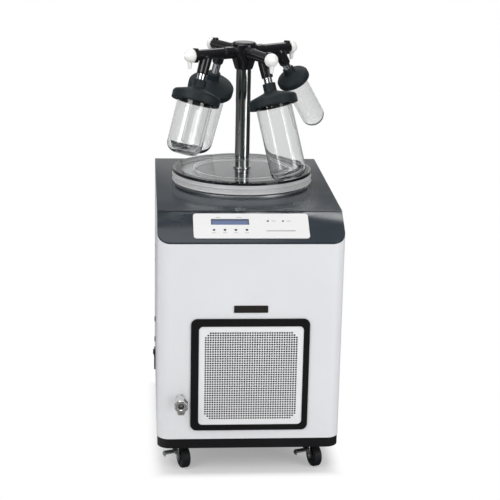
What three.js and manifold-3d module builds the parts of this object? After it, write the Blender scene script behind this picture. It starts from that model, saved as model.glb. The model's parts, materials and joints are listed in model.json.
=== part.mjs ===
// Floor-standing laboratory freeze dryer with a four-port flask manifold.
// Units are millimetres. +X is to the operator's right, +Y runs from the front panel to the back,
// +Z is up. The model is built on the cabinet's centre plane with the front panel at Y = 0 and the
// floor at Z = 0, and is centred on its own bounding box at the end.

import * as THREE from 'three';
import { mergeVertices } from 'three/addons/utils/BufferGeometryUtils.js';
import Module from 'manifold-3d';

const wasm = await Module();
wasm.setup();

// ---------------------------------------------------------------- driving dimensions

const fit = 0.3; // clearance between pieces that touch or nest
const cornerSteps = 6; // facets in each vertical corner of the cabinet
const facets = { small: 10, medium: 14, large: 18, wheel: 24, lid: 32 }; // round a turned piece

const cabinet = {
  width: 400,
  depth: 610,
  deckHeight: 586, // floor to the flat top
  sheet: 2, // side, front and rear panels
  coverSheet: 3, // dark top cover
  slopeRun: 85, // control fascia, front to back
  slopeDrop: 48, // control fascia, top to bottom
  cornerRadius: 28, // vertical front corners
  rearRadius: 4,
  wrap: 44, // depth of the front panel's returns
};

const base = {
  height: 70, // floor to the underside
  floorSheet: 3,
  rimHeight: 21.5,
  rimWall: 3,
  inset: 1, // rim to the panels' outer face
};

const caster = {
  spacingX: 294,
  frontY: 80,
  rearY: 570,
  turn: 18, // degrees that all four stand turned by
  trail: 22,
  wheelRadius: 25,
  wheelWidth: 19,
  hubWidth: 20.4,
  axleRadius: 3,
  cheek: 2.5,
  crownRadius: 17,
  crownHeight: 5,
  stemRadius: 5.6,
  stemLength: 11,
  nutRadius: 5.5,
  nutHeight: 2.2,
};

const pedal = { pinX: -17, y: -14, pinZ: 36, pinRadius: 1.5, barrelRadius: 3.1, half: 7, reach: 44 };

const grille = {
  frameSize: 256,
  bar: 15,
  centreZ: 241,
  proud: 3, // in front of the front panel
  cornerRadius: 8,
  spigotMargin: 8, // frame edge to its spigot
  spigotDepth: 5,
  lip: 4, // ledge behind the perforated sheet
  sheet: 1.5,
  setBack: 1, // front of the sheet behind the frame's face
};

const nameplate = { width: 73, height: 16, thickness: 1.2, centreZ: 390.5 };

const panel = {
  width: 247, // control panel on the fascia
  height: 75,
  thickness: 2,
  cornerRadius: 7,
  displayX: -45,
  displayV: 11.6, // above the panel's middle
  displayWidth: 81,
  displayHeight: 17.4,
  displayRecess: 0.7,
  buttonX: -80,
  buttonPitch: 23.3,
  buttonV: -13,
  buttonRadius: 2.7,
  buttonProud: 1,
  buttonTravel: 0.6,
  buttonFlange: 4.4,
  lampX: 36,
  lampPitch: 32.5,
  lampV: 14,
  lampRadius: 1.6,
  lampProud: 0.5,
  boardDepth: 7.5, // fascia's outer face to the board
  boardThickness: 1.6,
  boardWidth: 226,
  boardHeight: 54,
};

const chamber = {
  centreY: 358,
  radius: 108, // inside
  wall: 1.5,
  depth: 212,
  flangeRadius: 158,
  flangeThickness: 2.5,
  floorRadius: 20, // round between wall and floor
  mouthGap: 11.6, // chamber's wall to the cover's edge, hidden by the flange
  drainRadius: 6.5,
  drainBore: 4,
  drainLength: 48,
  portRadius: 12.7,
  portBore: 11,
  portDrop: 36, // port axis below the deck
  portProud: 22, // out of the rear panel
  portFlangeRadius: 20,
};

const insulation = { outerRadius: 150, topGap: 12, floor: 22 };
const gasket = { innerRadius: 147, outerRadius: 155, thickness: 3.1 };
const lid = { radius: 162, thickness: 27.5, edge: 1.5 };
const column = { radius: 17, wall: 2, top: 292.2, tail: 6, collarRadius: 21, collarHeight: 3.2 };

// Heights of the hub count from the deck, and lengths of its arms from the column's axis.

const hub = {
  bottom: 264.7,
  top: 326.7,
  bottomRadius: 20,
  radius: 29,
  armHeight: 304.2,
  bossRadius: 12.5,
  bossEnd: 31.7,
  nippleRadius: 8,
  nippleEnd: 52,
  nippleBore: 5,
  socketTop: 313.2,
};

const valve = {
  end: 138, // outer end, from the column's axis
  collarEnd: 56,
  collarRadius: 14,
  radius: 12.3,
  bore: 8.3,
  tabLength: 11,
  tabWidth: 11,
  tabHeight: 3.6,
  branchX: 102,
  branchLength: 46,
  branchTopRadius: 14,
  branchRadius: 12.9,
};

const knob = { radius: 15.5, length: 26, plugEnd: 60, spoutReach: 29, spoutRadius: 4.2, passage: 4.6 };
const adapter = { radius: 9.5, bore: 7.6, start: 22, pastNeck: 30 };

const wideCap = {
  radius: 55,
  neckRadius: 14.6,
  neckHeight: 19,
  rimTop: 31,
  rimBottom: 52,
  seat: 12, // how far the glass goes into the cap
  ledge: 6, // inside the glass
};
const smallCap = {
  radius: 39,
  neckRadius: 13.6,
  neckHeight: 12,
  rimTop: 22,
  rimBottom: 38,
  seat: 10,
  ledge: 4,
};

// Each arm: its bearing counter-clockwise from +X seen from above, how far its branch and flask
// lean outwards and swing sideways about the nipple, where the cap's neck starts along the branch,
// the cap, and the glass.
const arms = [
  { name: 'front_left', bearing: 211.5, lean: 20.4, swing: 6.7, neck: 59.2, cap: wideCap,
    glass: { radius: 40.5, length: 130, corner: 22, wall: 2.2 } },
  { name: 'rear_left', bearing: 116.5, lean: 26, swing: 0, neck: 75, cap: wideCap,
    glass: { radius: 40, length: 182, corner: 22, wall: 2.2 } },
  { name: 'front_right', bearing: 290.5, lean: 20.1, swing: 6.2, neck: 58.6, cap: wideCap,
    glass: { radius: 40.5, length: 178, corner: 24, wall: 2.4 } },
  { name: 'rear_right', bearing: 37, lean: 35.5, swing: 0, neck: 61.5, cap: smallCap,
    glass: { radius: 28, length: 143, corner: 26, wall: 1.8 } },
];

const drain = {
  x: -149,
  z: 187,
  flangeRadius: 11,
  flangeThickness: 3.4,
  neckRadius: 8,
  bodyRadius: 12.5,
  bodyStart: 12,
  collarStart: 31,
  collarRadius: 15.8,
  end: 50,
  bore: 7,
  boreDepth: 22,
  poppetRadius: 3,
  poppetRecess: 6,
  shankRadius: 7.5,
  shankLength: 16,
  latchY: 40.5, // middle of the latch plate, out of the front panel
  latchThickness: 2.2,
  latchHalfWidth: 8.6,
  latchTop: 8.8, // above the coupling's axis
  latchEye: 7.4,
  latchTravel: 1.5,
  padWidth: 13,
  padThickness: 2.6,
  hoseRadius: 7,
};

const compressor = { x: 62, y: 400, radius: 62, height: 178, footRadius: 74, footThickness: 4 };
const condenser = { width: 236, depth: 34, y: 26, bottomGap: 26, height: 226, tube: 4.5, fins: 5, rows: 4 };
const fan = { y: 80, z: 215, radius: 92, hubRadius: 22, thickness: 18, shaftRadius: 4, blades: 5 };
const motor = { y: 106, radius: 36, length: 46, footWidth: 60, footThickness: 5 };

const powerEntry = {
  y: 380, // on the left side panel
  z: 141,
  width: 30,
  height: 50,
  flange: 3,
  bodyMargin: 2, // flange edge to body
  bodyDepth: 22,
  socketV: -10.5, // socket's middle above the module's
  socketWidth: 23,
  socketHeight: 16.5,
  socketDepth: 17,
  pinRecess: 8,
  pinPitch: 6.5,
  rockerV: 14,
  rockerWidth: 20,
  rockerHeight: 13,
  rockerDepth: 15,
};

const rocker = { halfLength: 8.8, proud: 1.8, dip: 0.9, pinDepth: 3, pinRadius: 1.5, tilt: 7 };

// ---------------------------------------------------------------- derived sizes

const halfWidth = cabinet.width / 2;
const slopeAngle = Math.atan2(cabinet.slopeDrop, cabinet.slopeRun);
const deck = cabinet.deckHeight;
const rimTop = base.height + base.rimHeight;
const floorTop = base.height + base.floorSheet;
const flangeTop = deck + fit + chamber.flangeThickness;
const lidBottom = flangeTop + fit + gasket.thickness + fit;
const lidTop = lidBottom + lid.thickness;
const chamberBottom = deck - chamber.depth;
const potRadius = chamber.radius + chamber.wall;
const drainTip = chamberBottom - chamber.drainLength;

// ---------------------------------------------------------------- solid modelling helpers

/** A closed solid from a three.js geometry, with shared vertices merged and faces pointing out. */
function toSolid(geometry) {
  const plain = geometry.clone();
  plain.deleteAttribute('normal');
  plain.deleteAttribute('uv');
  const merged = mergeVertices(plain, 1e-4);
  const index = merged.index.array;
  const triangles = [];
  for (let i = 0; i < index.length; i += 3) {
    const [a, b, c] = [index[i], index[i + 1], index[i + 2]];
    if (a !== b && b !== c && a !== c) triangles.push(a, b, c);
  }
  const build = (corners) =>
    new wasm.Manifold(
      new wasm.Mesh({
        numProp: 3,
        vertProperties: new Float32Array(merged.attributes.position.array),
        triVerts: new Uint32Array(corners),
      })
    );
  const solid = build(triangles);
  return solid.volume() > 0 ? solid : build(triangles.reverse());
}

/** The three.js geometry of a solid. */
function toGeometry(solid) {
  const mesh = solid.getMesh();
  const geometry = new THREE.BufferGeometry();
  geometry.setAttribute('position', new THREE.BufferAttribute(mesh.vertProperties, 3));
  geometry.setIndex(new THREE.BufferAttribute(mesh.triVerts, 1));
  return geometry;
}

/** The first geometry with all the others added. */
function join(first, ...others) {
  return toGeometry(others.reduce((sum, other) => sum.add(toSolid(other)), toSolid(first)));
}

/** The first geometry with all the others taken away. */
function cut(first, ...others) {
  return toGeometry(others.reduce((rest, other) => rest.subtract(toSolid(other)), toSolid(first)));
}

/** What the two geometries share. */
function common(first, second) {
  return toGeometry(toSolid(first).intersect(toSolid(second)));
}

/** A block between two corners. */
function block(x0, x1, y0, y1, z0, z1) {
  const geometry = new THREE.BoxGeometry(x1 - x0, y1 - y0, z1 - z0);
  return geometry.translate((x0 + x1) / 2, (y0 + y1) / 2, (z0 + z1) / 2);
}

/** A body turned about Z from [radius, height] points that start and end on the axis. */
function turned(points, segments = facets.medium) {
  const profile = points.map(([radius, height]) => new THREE.Vector2(radius, height));
  return new THREE.LatheGeometry(profile, segments).rotateX(Math.PI / 2);
}

/** A ring turned about Z from a closed outline of [radius, height] points. */
function turnedRing(points, segments = facets.medium) {
  return turned([...points, points[0]], segments);
}

/** A rod along Z. */
function rod(radius, z0, z1, segments = facets.medium) {
  return turned([[0, z0], [radius, z0], [radius, z1], [0, z1]], segments);
}

/** A pipe along Z. */
function pipe(radius, bore, z0, z1, segments = facets.medium) {
  return turnedRing([[bore, z0], [radius, z0], [radius, z1], [bore, z1]], segments);
}

/** Turns a body made along Z so that it lies along +X. */
function alongX(geometry) {
  return geometry.rotateY(Math.PI / 2);
}

/** Turns a body made along Z so that it points out of the front panel, with its +Y upwards. */
function outOfFront(geometry) {
  return geometry.rotateX(Math.PI / 2);
}

/** Turns a body made along Z so that it points out of the rear panel. */
function outOfRear(geometry) {
  return geometry.rotateX(-Math.PI / 2);
}

/** Turns a body made along Z so that it points out of the left side panel, with its +Y upwards. */
function outOfLeft(geometry) {
  return geometry.rotateX(Math.PI / 2).rotateZ(-Math.PI / 2);
}

/** Points of a quarter-round in a lathe profile, from one angle to another, in degrees. */
function arc(centreRadius, centreHeight, radius, from, to, steps = 4) {
  const points = [];
  for (let i = 0; i <= steps; i += 1) {
    const angle = THREE.MathUtils.degToRad(from + ((to - from) * i) / steps);
    points.push([centreRadius + radius * Math.cos(angle), centreHeight + radius * Math.sin(angle)]);
  }
  return points;
}

/** A rectangle centred on the origin, with round corners. */
function roundedRectangle(width, height, radius) {
  const [x, y, r] = [width / 2, height / 2, radius];
  const shape = new THREE.Shape();
  shape.moveTo(-x + r, -y);
  shape.absarc(x - r, -y + r, r, -Math.PI / 2, 0);
  shape.absarc(x - r, y - r, r, 0, Math.PI / 2);
  shape.absarc(-x + r, y - r, r, Math.PI / 2, Math.PI);
  shape.absarc(-x + r, -y + r, r, Math.PI, 1.5 * Math.PI);
  return shape;
}

/** A shape in the XY plane raised from z0 to z1. */
function prism(shape, z0, z1, curveSegments = 3) {
  const options = { depth: z1 - z0, bevelEnabled: false, curveSegments };
  return new THREE.ExtrudeGeometry(shape, options).translate(0, 0, z0);
}

/** A round-cornered plate standing in the front plane, from Y = y0 to Y = y1. */
function frontPlate(width, height, radius, y0, y1) {
  const plate = prism(roundedRectangle(width, height, radius), -y1, -y0);
  return outOfFront(plate);
}

/** A finish for one kind of piece. */
function finish(colour, roughness, metalness = 0, opacity = 1) {
  const settings = { color: colour, roughness, metalness, opacity, transparent: opacity < 1 };
  return new THREE.MeshStandardMaterial(settings);
}

// ---------------------------------------------------------------- finishes

const finishes = {
  whitePaint: () => finish(0xf0f1f2, 0.45),
  greyPaint: () => finish(0x5d6469, 0.5),
  blackPaint: () => finish(0x1e1e20, 0.5),
  whitePlastic: () => finish(0xf4f4f4, 0.4),
  blackPlastic: () => finish(0x1c1c20, 0.4),
  bluePanel: () => finish(0x5f6e9b, 0.2),
  lens: () => finish(0x402020, 0.2),
  stainless: () => finish(0xa0a3a8, 0.3, 1),
  chrome: () => finish(0xc8c8c8, 0.12, 1),
  acrylic: () => finish(0xe6e8ea, 0.05, 0, 0.4),
  glass: () => finish(0xeef2f2, 0.03, 0, 0.35),
  rubber: () => finish(0x242e32, 0.75),
  foam: () => finish(0xc9c2a8, 0.9),
  steel: () => finish(0x55585c, 0.4, 1),
  tyre: () => finish(0x1d1d1f, 0.7),
  compressorPaint: () => finish(0x141416, 0.5),
  aluminium: () => finish(0xb4b6b8, 0.4, 1),
  board: () => finish(0x1f5a37, 0.6),
};

// ---------------------------------------------------------------- cabinet shell

/** The cabinet's outline seen from above, shrunk by a distance all round. */
function planOutline(inset) {
  const [x, front, rear] = [halfWidth - inset, inset, cabinet.depth - inset];
  const r = Math.max(cabinet.cornerRadius - inset, 1);
  const q = Math.max(cabinet.rearRadius - inset, 1);
  const shape = new THREE.Shape();
  shape.moveTo(-x + r, front);
  shape.absarc(x - r, front + r, r, -Math.PI / 2, 0);
  shape.absarc(x - q, rear - q, q, 0, Math.PI / 2);
  shape.absarc(-x + q, rear - q, q, Math.PI / 2, Math.PI);
  shape.absarc(-x + r, front + r, r, Math.PI, 1.5 * Math.PI);
  return shape;
}

/** A body as wide as the cabinet whose side view is what lies below the top, less a depth. */
function belowTop(less) {
  const slopeLess = less / Math.cos(slopeAngle);
  const breakBack = less * Math.tan(slopeAngle / 2);
  const side = new THREE.Shape();
  side.moveTo(-1, 0);
  side.lineTo(cabinet.depth + 1, 0);
  side.lineTo(cabinet.depth + 1, deck - less);
  side.lineTo(cabinet.slopeRun + breakBack, deck - less);
  side.lineTo(0, deck - cabinet.slopeDrop - slopeLess);
  side.lineTo(-1, deck - cabinet.slopeDrop - slopeLess);
  // Extruded along Z, then turned so that the outline's X runs along +Y and its Y along +Z.
  const solid = prism(side, -halfWidth - 1, halfWidth + 1);
  return solid.rotateX(Math.PI / 2).rotateZ(Math.PI / 2);
}

/** The whole folded shell, before it is parted into its panels. */
function shell() {
  const ring = cut(
    prism(planOutline(0), rimTop + fit, deck + 1, cornerSteps),
    prism(planOutline(cabinet.sheet), rimTop, deck + 2, cornerSteps)
  );
  return common(ring, belowTop(cabinet.coverSheet + fit));
}

/** Front panel with its two round corners, the grille window and the drain hole. */
function frontPanel() {
  const front = common(
    shell(),
    block(-halfWidth - 1, halfWidth + 1, -1, cabinet.wrap, 0, deck + 1)
  );
  const window = grille.frameSize - 2 * grille.spigotMargin + 2 * fit;
  const opening = frontPlate(window, window, grille.cornerRadius, -5, 5);
  const drainHole = outOfFront(rod(drain.shankRadius + fit, -5, 5));
  return cut(
    front,
    opening.translate(0, 0, grille.centreZ),
    drainHole.translate(drain.x, 0, drain.z)
  );
}

/** One side panel, on the right for side 1. The left-hand one holds the power entry. */
function sidePanel(side) {
  const x = side * halfWidth;
  const rearSeam = cabinet.depth - cabinet.sheet - fit;
  const wall = common(
    shell(),
    block(x - 10, x + 10, cabinet.wrap + fit, rearSeam, 0, deck + 1)
  );
  if (side > 0) return wall;
  const halfBody = powerEntry.width / 2 - powerEntry.bodyMargin + fit;
  const halfTall = powerEntry.height / 2 - powerEntry.bodyMargin + fit;
  const hole = block(x - 5, x + 5, -halfBody, halfBody, -halfTall, halfTall);
  return cut(wall, hole.translate(0, powerEntry.y, powerEntry.z));
}

/** Flat rear panel with the hole for the vacuum port. */
function rearPanel() {
  const seam = cabinet.depth - cabinet.sheet;
  const wall = common(
    shell(),
    block(-halfWidth - 1, halfWidth + 1, seam, cabinet.depth + 1, 0, deck + 1)
  );
  const hole = outOfRear(rod(chamber.portFlangeRadius + fit, -5, 5));
  return cut(wall, hole.translate(0, cabinet.depth, deck - chamber.portDrop));
}

/** Folded dark cover: the flat deck, and the sloping control fascia in front of it. */
function topCover() {
  const whole = common(prism(planOutline(0), rimTop, deck + 1, cornerSteps), belowTop(0));
  const sheet = cut(whole, belowTop(cabinet.coverSheet));
  const mouth = rod(potRadius + chamber.mouthGap, deck - 10, deck + 10, facets.lid);
  return cut(sheet, mouth.translate(0, chamber.centreY, 0), ...fasciaOpenings());
}

/** Black base tray: a folded floor with an upstanding rim, and a hole for each caster's stem. */
function baseTray() {
  const outer = prism(planOutline(base.inset), base.height, rimTop, cornerSteps);
  const inner = prism(planOutline(base.inset + base.rimWall), floorTop, rimTop + 1, cornerSteps);
  const holes = casterPlaces().map(({ x, y }) =>
    rod(caster.stemRadius + fit, base.height - 1, floorTop + 1, facets.small).translate(x, y, 0)
  );
  return cut(outer, inner, ...holes);
}

// ---------------------------------------------------------------- casters

/** Name and place of each caster's swivel axis. */
function casterPlaces() {
  const x = caster.spacingX / 2;
  return [
    { name: 'front_left', x: -x, y: caster.frontY, braked: true },
    { name: 'front_right', x, y: caster.frontY, braked: true },
    { name: 'rear_left', x: -x, y: caster.rearY, braked: false },
    { name: 'rear_right', x, y: caster.rearY, braked: false },
  ];
}

/** Lays a body made along Z on a caster's axle. */
function atAxle(geometry) {
  return alongX(geometry).translate(0, -caster.trail, caster.wheelRadius);
}

/** Swivelling fork: crown, two cheeks, axle and stem, with ears for the brake pedal's pin. */
function casterFork(braked) {
  const inner = caster.hubWidth / 2 + fit;
  const outer = inner + caster.cheek;
  const bridgeBottom = 2 * caster.wheelRadius + 4;
  const crownTop = base.height - fit;
  const bridgeTop = crownTop - caster.crownHeight;
  const side = new THREE.Shape();
  side.moveTo(-14, bridgeTop);
  side.lineTo(15, bridgeTop);
  side.lineTo(15, bridgeBottom);
  side.absarc(-caster.trail, caster.wheelRadius, 7, -Math.PI / 4, -Math.PI, true);
  side.lineTo(-caster.trail - 7, caster.wheelRadius + 6);
  const plate = () => prism(side, 0, caster.cheek).rotateX(Math.PI / 2).rotateZ(Math.PI / 2);
  const pieces = [
    plate().translate(inner, 0, 0),
    plate().translate(-outer, 0, 0),
    block(-inner - 1, inner + 1, -13, 15, bridgeBottom, bridgeTop),
    rod(caster.crownRadius, bridgeTop - 0.5, crownTop),
    rod(caster.stemRadius, crownTop - 1, crownTop + caster.stemLength, facets.small),
    atAxle(rod(caster.axleRadius, -inner - 1, inner + 1, facets.small)),
    atAxle(rod(caster.nutRadius, outer - 0.5, outer + caster.nutHeight, 6)),
    atAxle(rod(caster.nutRadius, -outer - caster.nutHeight, -outer + 0.5, 6)),
  ];
  if (braked) {
    const pin = rod(pedal.pinRadius, -pedal.half - 2, pedal.half + 2, 8).rotateX(Math.PI / 2);
    pieces.push(pin.translate(pedal.pinX, pedal.y, pedal.pinZ));
    for (const end of [-1, 1]) {
      const y = pedal.y + end * (pedal.half + fit);
      const ear = [pedal.pinX - 3, -outer + 0.5, Math.min(y, y + end * 2), Math.max(y, y + end * 2)];
      pieces.push(block(...ear, pedal.pinZ - 3, pedal.pinZ + 5));
    }
  }
  return join(...pieces);
}

/** Wheel with a rounded tread and a raised hub, about its own axle. */
function casterWheel() {
  const [r, w, h] = [caster.wheelRadius, caster.wheelWidth / 2, caster.hubWidth / 2];
  const bore = caster.axleRadius + fit;
  const outline = [
    [bore, -h],
    [9, -h],
    [10, -w],
    [r - 3, -w],
    [r, -w + 4],
    [r, w - 4],
    [r - 3, w],
    [10, w],
    [9, h],
    [bore, h],
  ];
  return alongX(turnedRing(outline, facets.wheel));
}

/** Brake pedal: a barrel on its pin, and a tread plate with a turned-down tip. */
function brakePedal() {
  const outline = new THREE.Shape();
  const { pinX: x, pinZ: z, barrelRadius: r, reach } = pedal;
  outline.moveTo(x - 1, z + 2.6);
  outline.lineTo(-reach + 3, z + 2.2);
  outline.lineTo(-reach, z - 0.5);
  outline.lineTo(-reach, z - 6);
  outline.lineTo(-reach + 2.2, z - 6);
  outline.lineTo(-reach + 2.4, z - 1.4);
  outline.lineTo(x - 1, z - 0.4);
  const plate = prism(outline, -pedal.half, pedal.half).rotateX(Math.PI / 2);
  const barrel = rod(r, -pedal.half, pedal.half, 12).rotateX(Math.PI / 2).translate(x, 0, z);
  const hole = rod(pedal.pinRadius + fit, -pedal.half - 1, pedal.half + 1, 8)
    .rotateX(Math.PI / 2)
    .translate(x, 0, z);
  return cut(join(plate, barrel), hole).translate(0, pedal.y, 0);
}

// ---------------------------------------------------------------- grille and nameplate

/** Square black frame, with a spigot through the front panel and a ledge for the sheet. */
function grilleFrame() {
  const { frameSize: size, bar, cornerRadius: r, proud, spigotMargin, spigotDepth } = grille;
  const spigot = size - 2 * spigotMargin;
  const inner = size - 2 * bar;
  const ledge = inner - 2 * grille.lip;
  const sheetBack = -proud + grille.setBack + grille.sheet + fit;
  const front = frontPlate(size, size, r, -proud - fit, -fit);
  const back = frontPlate(spigot, spigot, r, -fit - 0.5, spigotDepth);
  const seat = frontPlate(inner, inner, r, -proud - 2, sheetBack);
  const hole = frontPlate(ledge, ledge, r, -proud - 2, spigotDepth + 2);
  return cut(join(front, back), seat, hole).translate(0, 0, grille.centreZ);
}

/** The white sheet inside the frame. */
function grillePanel() {
  const size = grille.frameSize - 2 * grille.bar - 2 * fit;
  const y0 = -grille.proud + grille.setBack;
  return frontPlate(size, size, grille.cornerRadius, y0, y0 + grille.sheet)
    .translate(0, 0, grille.centreZ);
}

/** Blank black plate above the grille. */
function blankNameplate() {
  const { width, height, thickness } = nameplate;
  return frontPlate(width, height, 1.2, -thickness - fit, -fit).translate(0, 0, nameplate.centreZ);
}

// ---------------------------------------------------------------- control fascia
// These pieces are made lying flat: X to the right, Y up the slope from the fascia's middle and
// Z out of the fascia, which is at Z = 0. fasciaGroup then leans them into place.

/** Places of the buttons on the fascia. */
function buttonPlaces() {
  return [0, 1, 2, 3].map((i) => ({ x: panel.buttonX + i * panel.buttonPitch, y: panel.buttonV }));
}

/** Places of the two status lamps on the fascia. */
function lampPlaces() {
  return [0, 1].map((i) => ({ x: panel.lampX + i * panel.lampPitch, y: panel.lampV }));
}

/** The display, or its opening where it is grown by a margin. */
function displayBlock(margin, z0, z1) {
  const [w, h] = [panel.displayWidth / 2 + margin, panel.displayHeight / 2 + margin];
  const { displayX: x, displayV: y } = panel;
  return block(x - w, x + w, y - h, y + h, z0, z1);
}

/** White control panel with its openings. */
function controlPanel() {
  const plate = prism(
    roundedRectangle(panel.width, panel.height, panel.cornerRadius),
    fit,
    fit + panel.thickness
  );
  const holes = [displayBlock(fit, -1, 5)];
  for (const { x, y } of buttonPlaces()) {
    holes.push(rod(panel.buttonRadius + fit, -1, 5, facets.small).translate(x, y, 0));
  }
  for (const { x, y } of lampPlaces()) {
    holes.push(rod(panel.lampRadius + fit, -1, 5, 8).translate(x, y, 0));
  }
  return cut(plate, ...holes);
}

/** Push button: cap, retaining flange under the panel, and a stem down to the board. */
function pushButton() {
  const top = fit + panel.thickness + panel.buttonProud;
  const flangeTopZ = -0.1;
  const flangeBottom = -1.4;
  const tip = -panel.boardDepth + panel.buttonTravel + fit;
  const { buttonRadius: r, buttonFlange: flange } = panel;
  return turned(
    [
      [0, tip],
      [1.6, tip],
      [1.6, flangeBottom],
      [flange, flangeBottom],
      [flange, flangeTopZ],
      [r, flangeTopZ],
      [r, top - 0.4],
      [r - 0.4, top],
      [0, top],
    ],
    facets.small
  );
}

/** A lamp's lens on the board, from inside the board up through the panel. */
function statusLamp() {
  const base = -panel.boardDepth - 0.5;
  const top = fit + panel.thickness + panel.lampProud;
  const r = panel.lampRadius;
  return turned([[0, base], [r, base], [r, top - 0.6], [r * 0.7, top - 0.15], [0, top]], 8);
}

/** Control board with its display, two lamps, and four posts up to the fascia's underside. */
function controlBoard() {
  const [w, h] = [panel.boardWidth / 2, panel.boardHeight / 2];
  const top = -panel.boardDepth;
  const plate = block(-w, w, -h, h, top - panel.boardThickness, top);
  const posts = [[-1, -1], [1, -1], [1, 1], [-1, 1]].map(([a, b]) =>
    rod(3, top - 0.5, -cabinet.coverSheet - fit, 6).translate(a * (w - 5), b * (h - 5), 0)
  );
  const display = displayBlock(0, top - 0.5, fit + panel.thickness - panel.displayRecess);
  const lamps = lampPlaces().map(({ x, y }) => statusLamp().translate(x, y, 0));
  return join(plate, ...posts, display, ...lamps);
}

/** Leans a flat fascia piece into place on the cabinet. */
function ontoFascia(geometry) {
  return geometry
    .rotateX(slopeAngle)
    .translate(0, cabinet.slopeRun / 2, deck - cabinet.slopeDrop / 2);
}

/** What is cut out of the top cover for the display, the buttons and the lamps. */
function fasciaOpenings() {
  const [low, high] = [-cabinet.coverSheet - 2, 3];
  const holes = [displayBlock(1, low, high)];
  for (const { x, y } of buttonPlaces()) {
    holes.push(rod(panel.buttonFlange + fit, low, high, facets.small).translate(x, y, 0));
  }
  for (const { x, y } of lampPlaces()) {
    holes.push(rod(panel.lampRadius + fit, low, high, 8).translate(x, y, 0));
  }
  return holes.map(ontoFascia);
}

// ---------------------------------------------------------------- ice chamber

/** Stainless chamber: pot, flange, drain spigot and vacuum port. */
function iceChamber() {
  const { radius: r, wall, drainRadius, drainBore } = chamber;
  const round = chamber.floorRadius;
  const lower = chamberBottom + wall;
  const outline = [
    [drainBore, drainTip],
    [drainRadius, drainTip],
    [drainRadius, chamberBottom],
    ...arc(r + wall - round, chamberBottom + round, round, -90, 0, 2),
    [r + wall, deck + fit],
    [chamber.flangeRadius, deck + fit],
    [chamber.flangeRadius, flangeTop],
    [r, flangeTop],
    ...arc(r - round, lower + round, round, 0, -90, 2),
    [drainBore, lower],
  ];
  const pot = turnedRing(outline, facets.large);
  const portZ = deck - chamber.portDrop;
  const end = cabinet.depth + chamber.portProud - chamber.centreY;
  const port = outOfRear(
    join(
      rod(chamber.portRadius, r - 6, end - 3),
      rod(chamber.portFlangeRadius, end - 4, end),
      rod(chamber.portRadius + 3, end - 7, end - 3)
    )
  );
  const inside = rod(r + wall / 2, portZ - 30, flangeTop - 1, facets.large);
  const bore = outOfRear(rod(chamber.portBore, r - 10, end + 1));
  const tube = cut(port.translate(0, 0, portZ), inside);
  return cut(join(pot, tube), bore.translate(0, 0, portZ)).translate(0, chamber.centreY, 0);
}

/** Foam jacket round the chamber, with a way out for the vacuum port and the drain. */
function chamberInsulation() {
  const top = deck - cabinet.coverSheet - insulation.topGap;
  const bottom = chamberBottom - insulation.floor;
  const inner = potRadius + fit;
  const jacket = turnedRing(
    [
      [chamber.drainRadius + fit, bottom],
      [insulation.outerRadius, bottom],
      [insulation.outerRadius, top],
      [inner, top],
      [inner, chamberBottom - fit],
      [chamber.drainRadius + fit, chamberBottom - fit],
    ],
    facets.large
  );
  const portWay = chamber.portRadius + fit;
  const portZ = deck - chamber.portDrop;
  const slot = block(-portWay, portWay, 50, insulation.outerRadius + 5, portZ, top + 5);
  const round = outOfRear(rod(portWay, 50, insulation.outerRadius + 5)).translate(0, 0, portZ);
  return cut(jacket, slot, round).translate(0, chamber.centreY, 0);
}

/** Flat rubber ring between the chamber's flange and the lid. */
function chamberGasket() {
  const { innerRadius, outerRadius, thickness } = gasket;
  const z = flangeTop + fit;
  return pipe(outerRadius, innerRadius, z, z + thickness, facets.lid).translate(0, chamber.centreY, 0);
}

/** Thick clear lid with a hole for the column. */
function chamberLid() {
  const { radius, edge } = lid;
  const hole = column.radius + fit;
  const outline = [
    [hole, lidBottom],
    [radius, lidBottom],
    [radius, lidTop - edge],
    [radius - edge, lidTop],
    [hole, lidTop],
  ];
  return turnedRing(outline, facets.lid).translate(0, chamber.centreY, 0);
}

// ---------------------------------------------------------------- manifold
// The column, hub and arms stand on the lid's axis. manifoldGroup holds them with its origin on
// that axis at deck height.

/** Stainless pipe from under the lid up into the hub, with a collar that stands on the lid. */
function manifoldColumn() {
  const { radius: r, wall, top, tail, collarRadius, collarHeight } = column;
  const collar = lidTop - deck + fit;
  return turnedRing(
    [
      [r - wall, lidBottom - deck - tail],
      [r, lidBottom - deck - tail],
      [r, collar],
      [collarRadius, collar],
      [collarRadius, collar + collarHeight - 0.8],
      [collarRadius - 0.8, collar + collarHeight],
      [r, collar + collarHeight],
      [r, top],
      [r - wall, top],
    ],
    facets.large
  );
}

/** Black hub: a cup on the column with four nipples for the valves. */
function manifoldHub() {
  const socket = column.radius + fit;
  const body = turned(
    [
      [0, hub.socketTop],
      [column.radius - column.wall, hub.socketTop],
      [column.radius - column.wall, column.top + fit],
      [socket, column.top + fit],
      [socket, hub.bottom],
      [hub.bottomRadius, hub.bottom],
      [hub.radius - 1.5, hub.armHeight - 16],
      [hub.radius, hub.armHeight - 8],
      [hub.radius, hub.top - 4],
      [hub.radius - 4, hub.top],
      [0, hub.top],
    ],
    facets.large
  );
  const nipples = [];
  const bores = [];
  for (const arm of arms) {
    const place = (geometry) =>
      alongX(geometry).rotateZ(THREE.MathUtils.degToRad(arm.bearing)).translate(0, 0, hub.armHeight);
    nipples.push(place(rod(hub.bossRadius, socket + 4, hub.bossEnd)));
    nipples.push(place(rod(hub.nippleRadius, socket + 4, hub.nippleEnd)));
    bores.push(place(rod(hub.nippleBore, socket - 4, hub.nippleEnd + 1, facets.small)));
  }
  return cut(join(body, ...nipples), ...bores);
}

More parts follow.
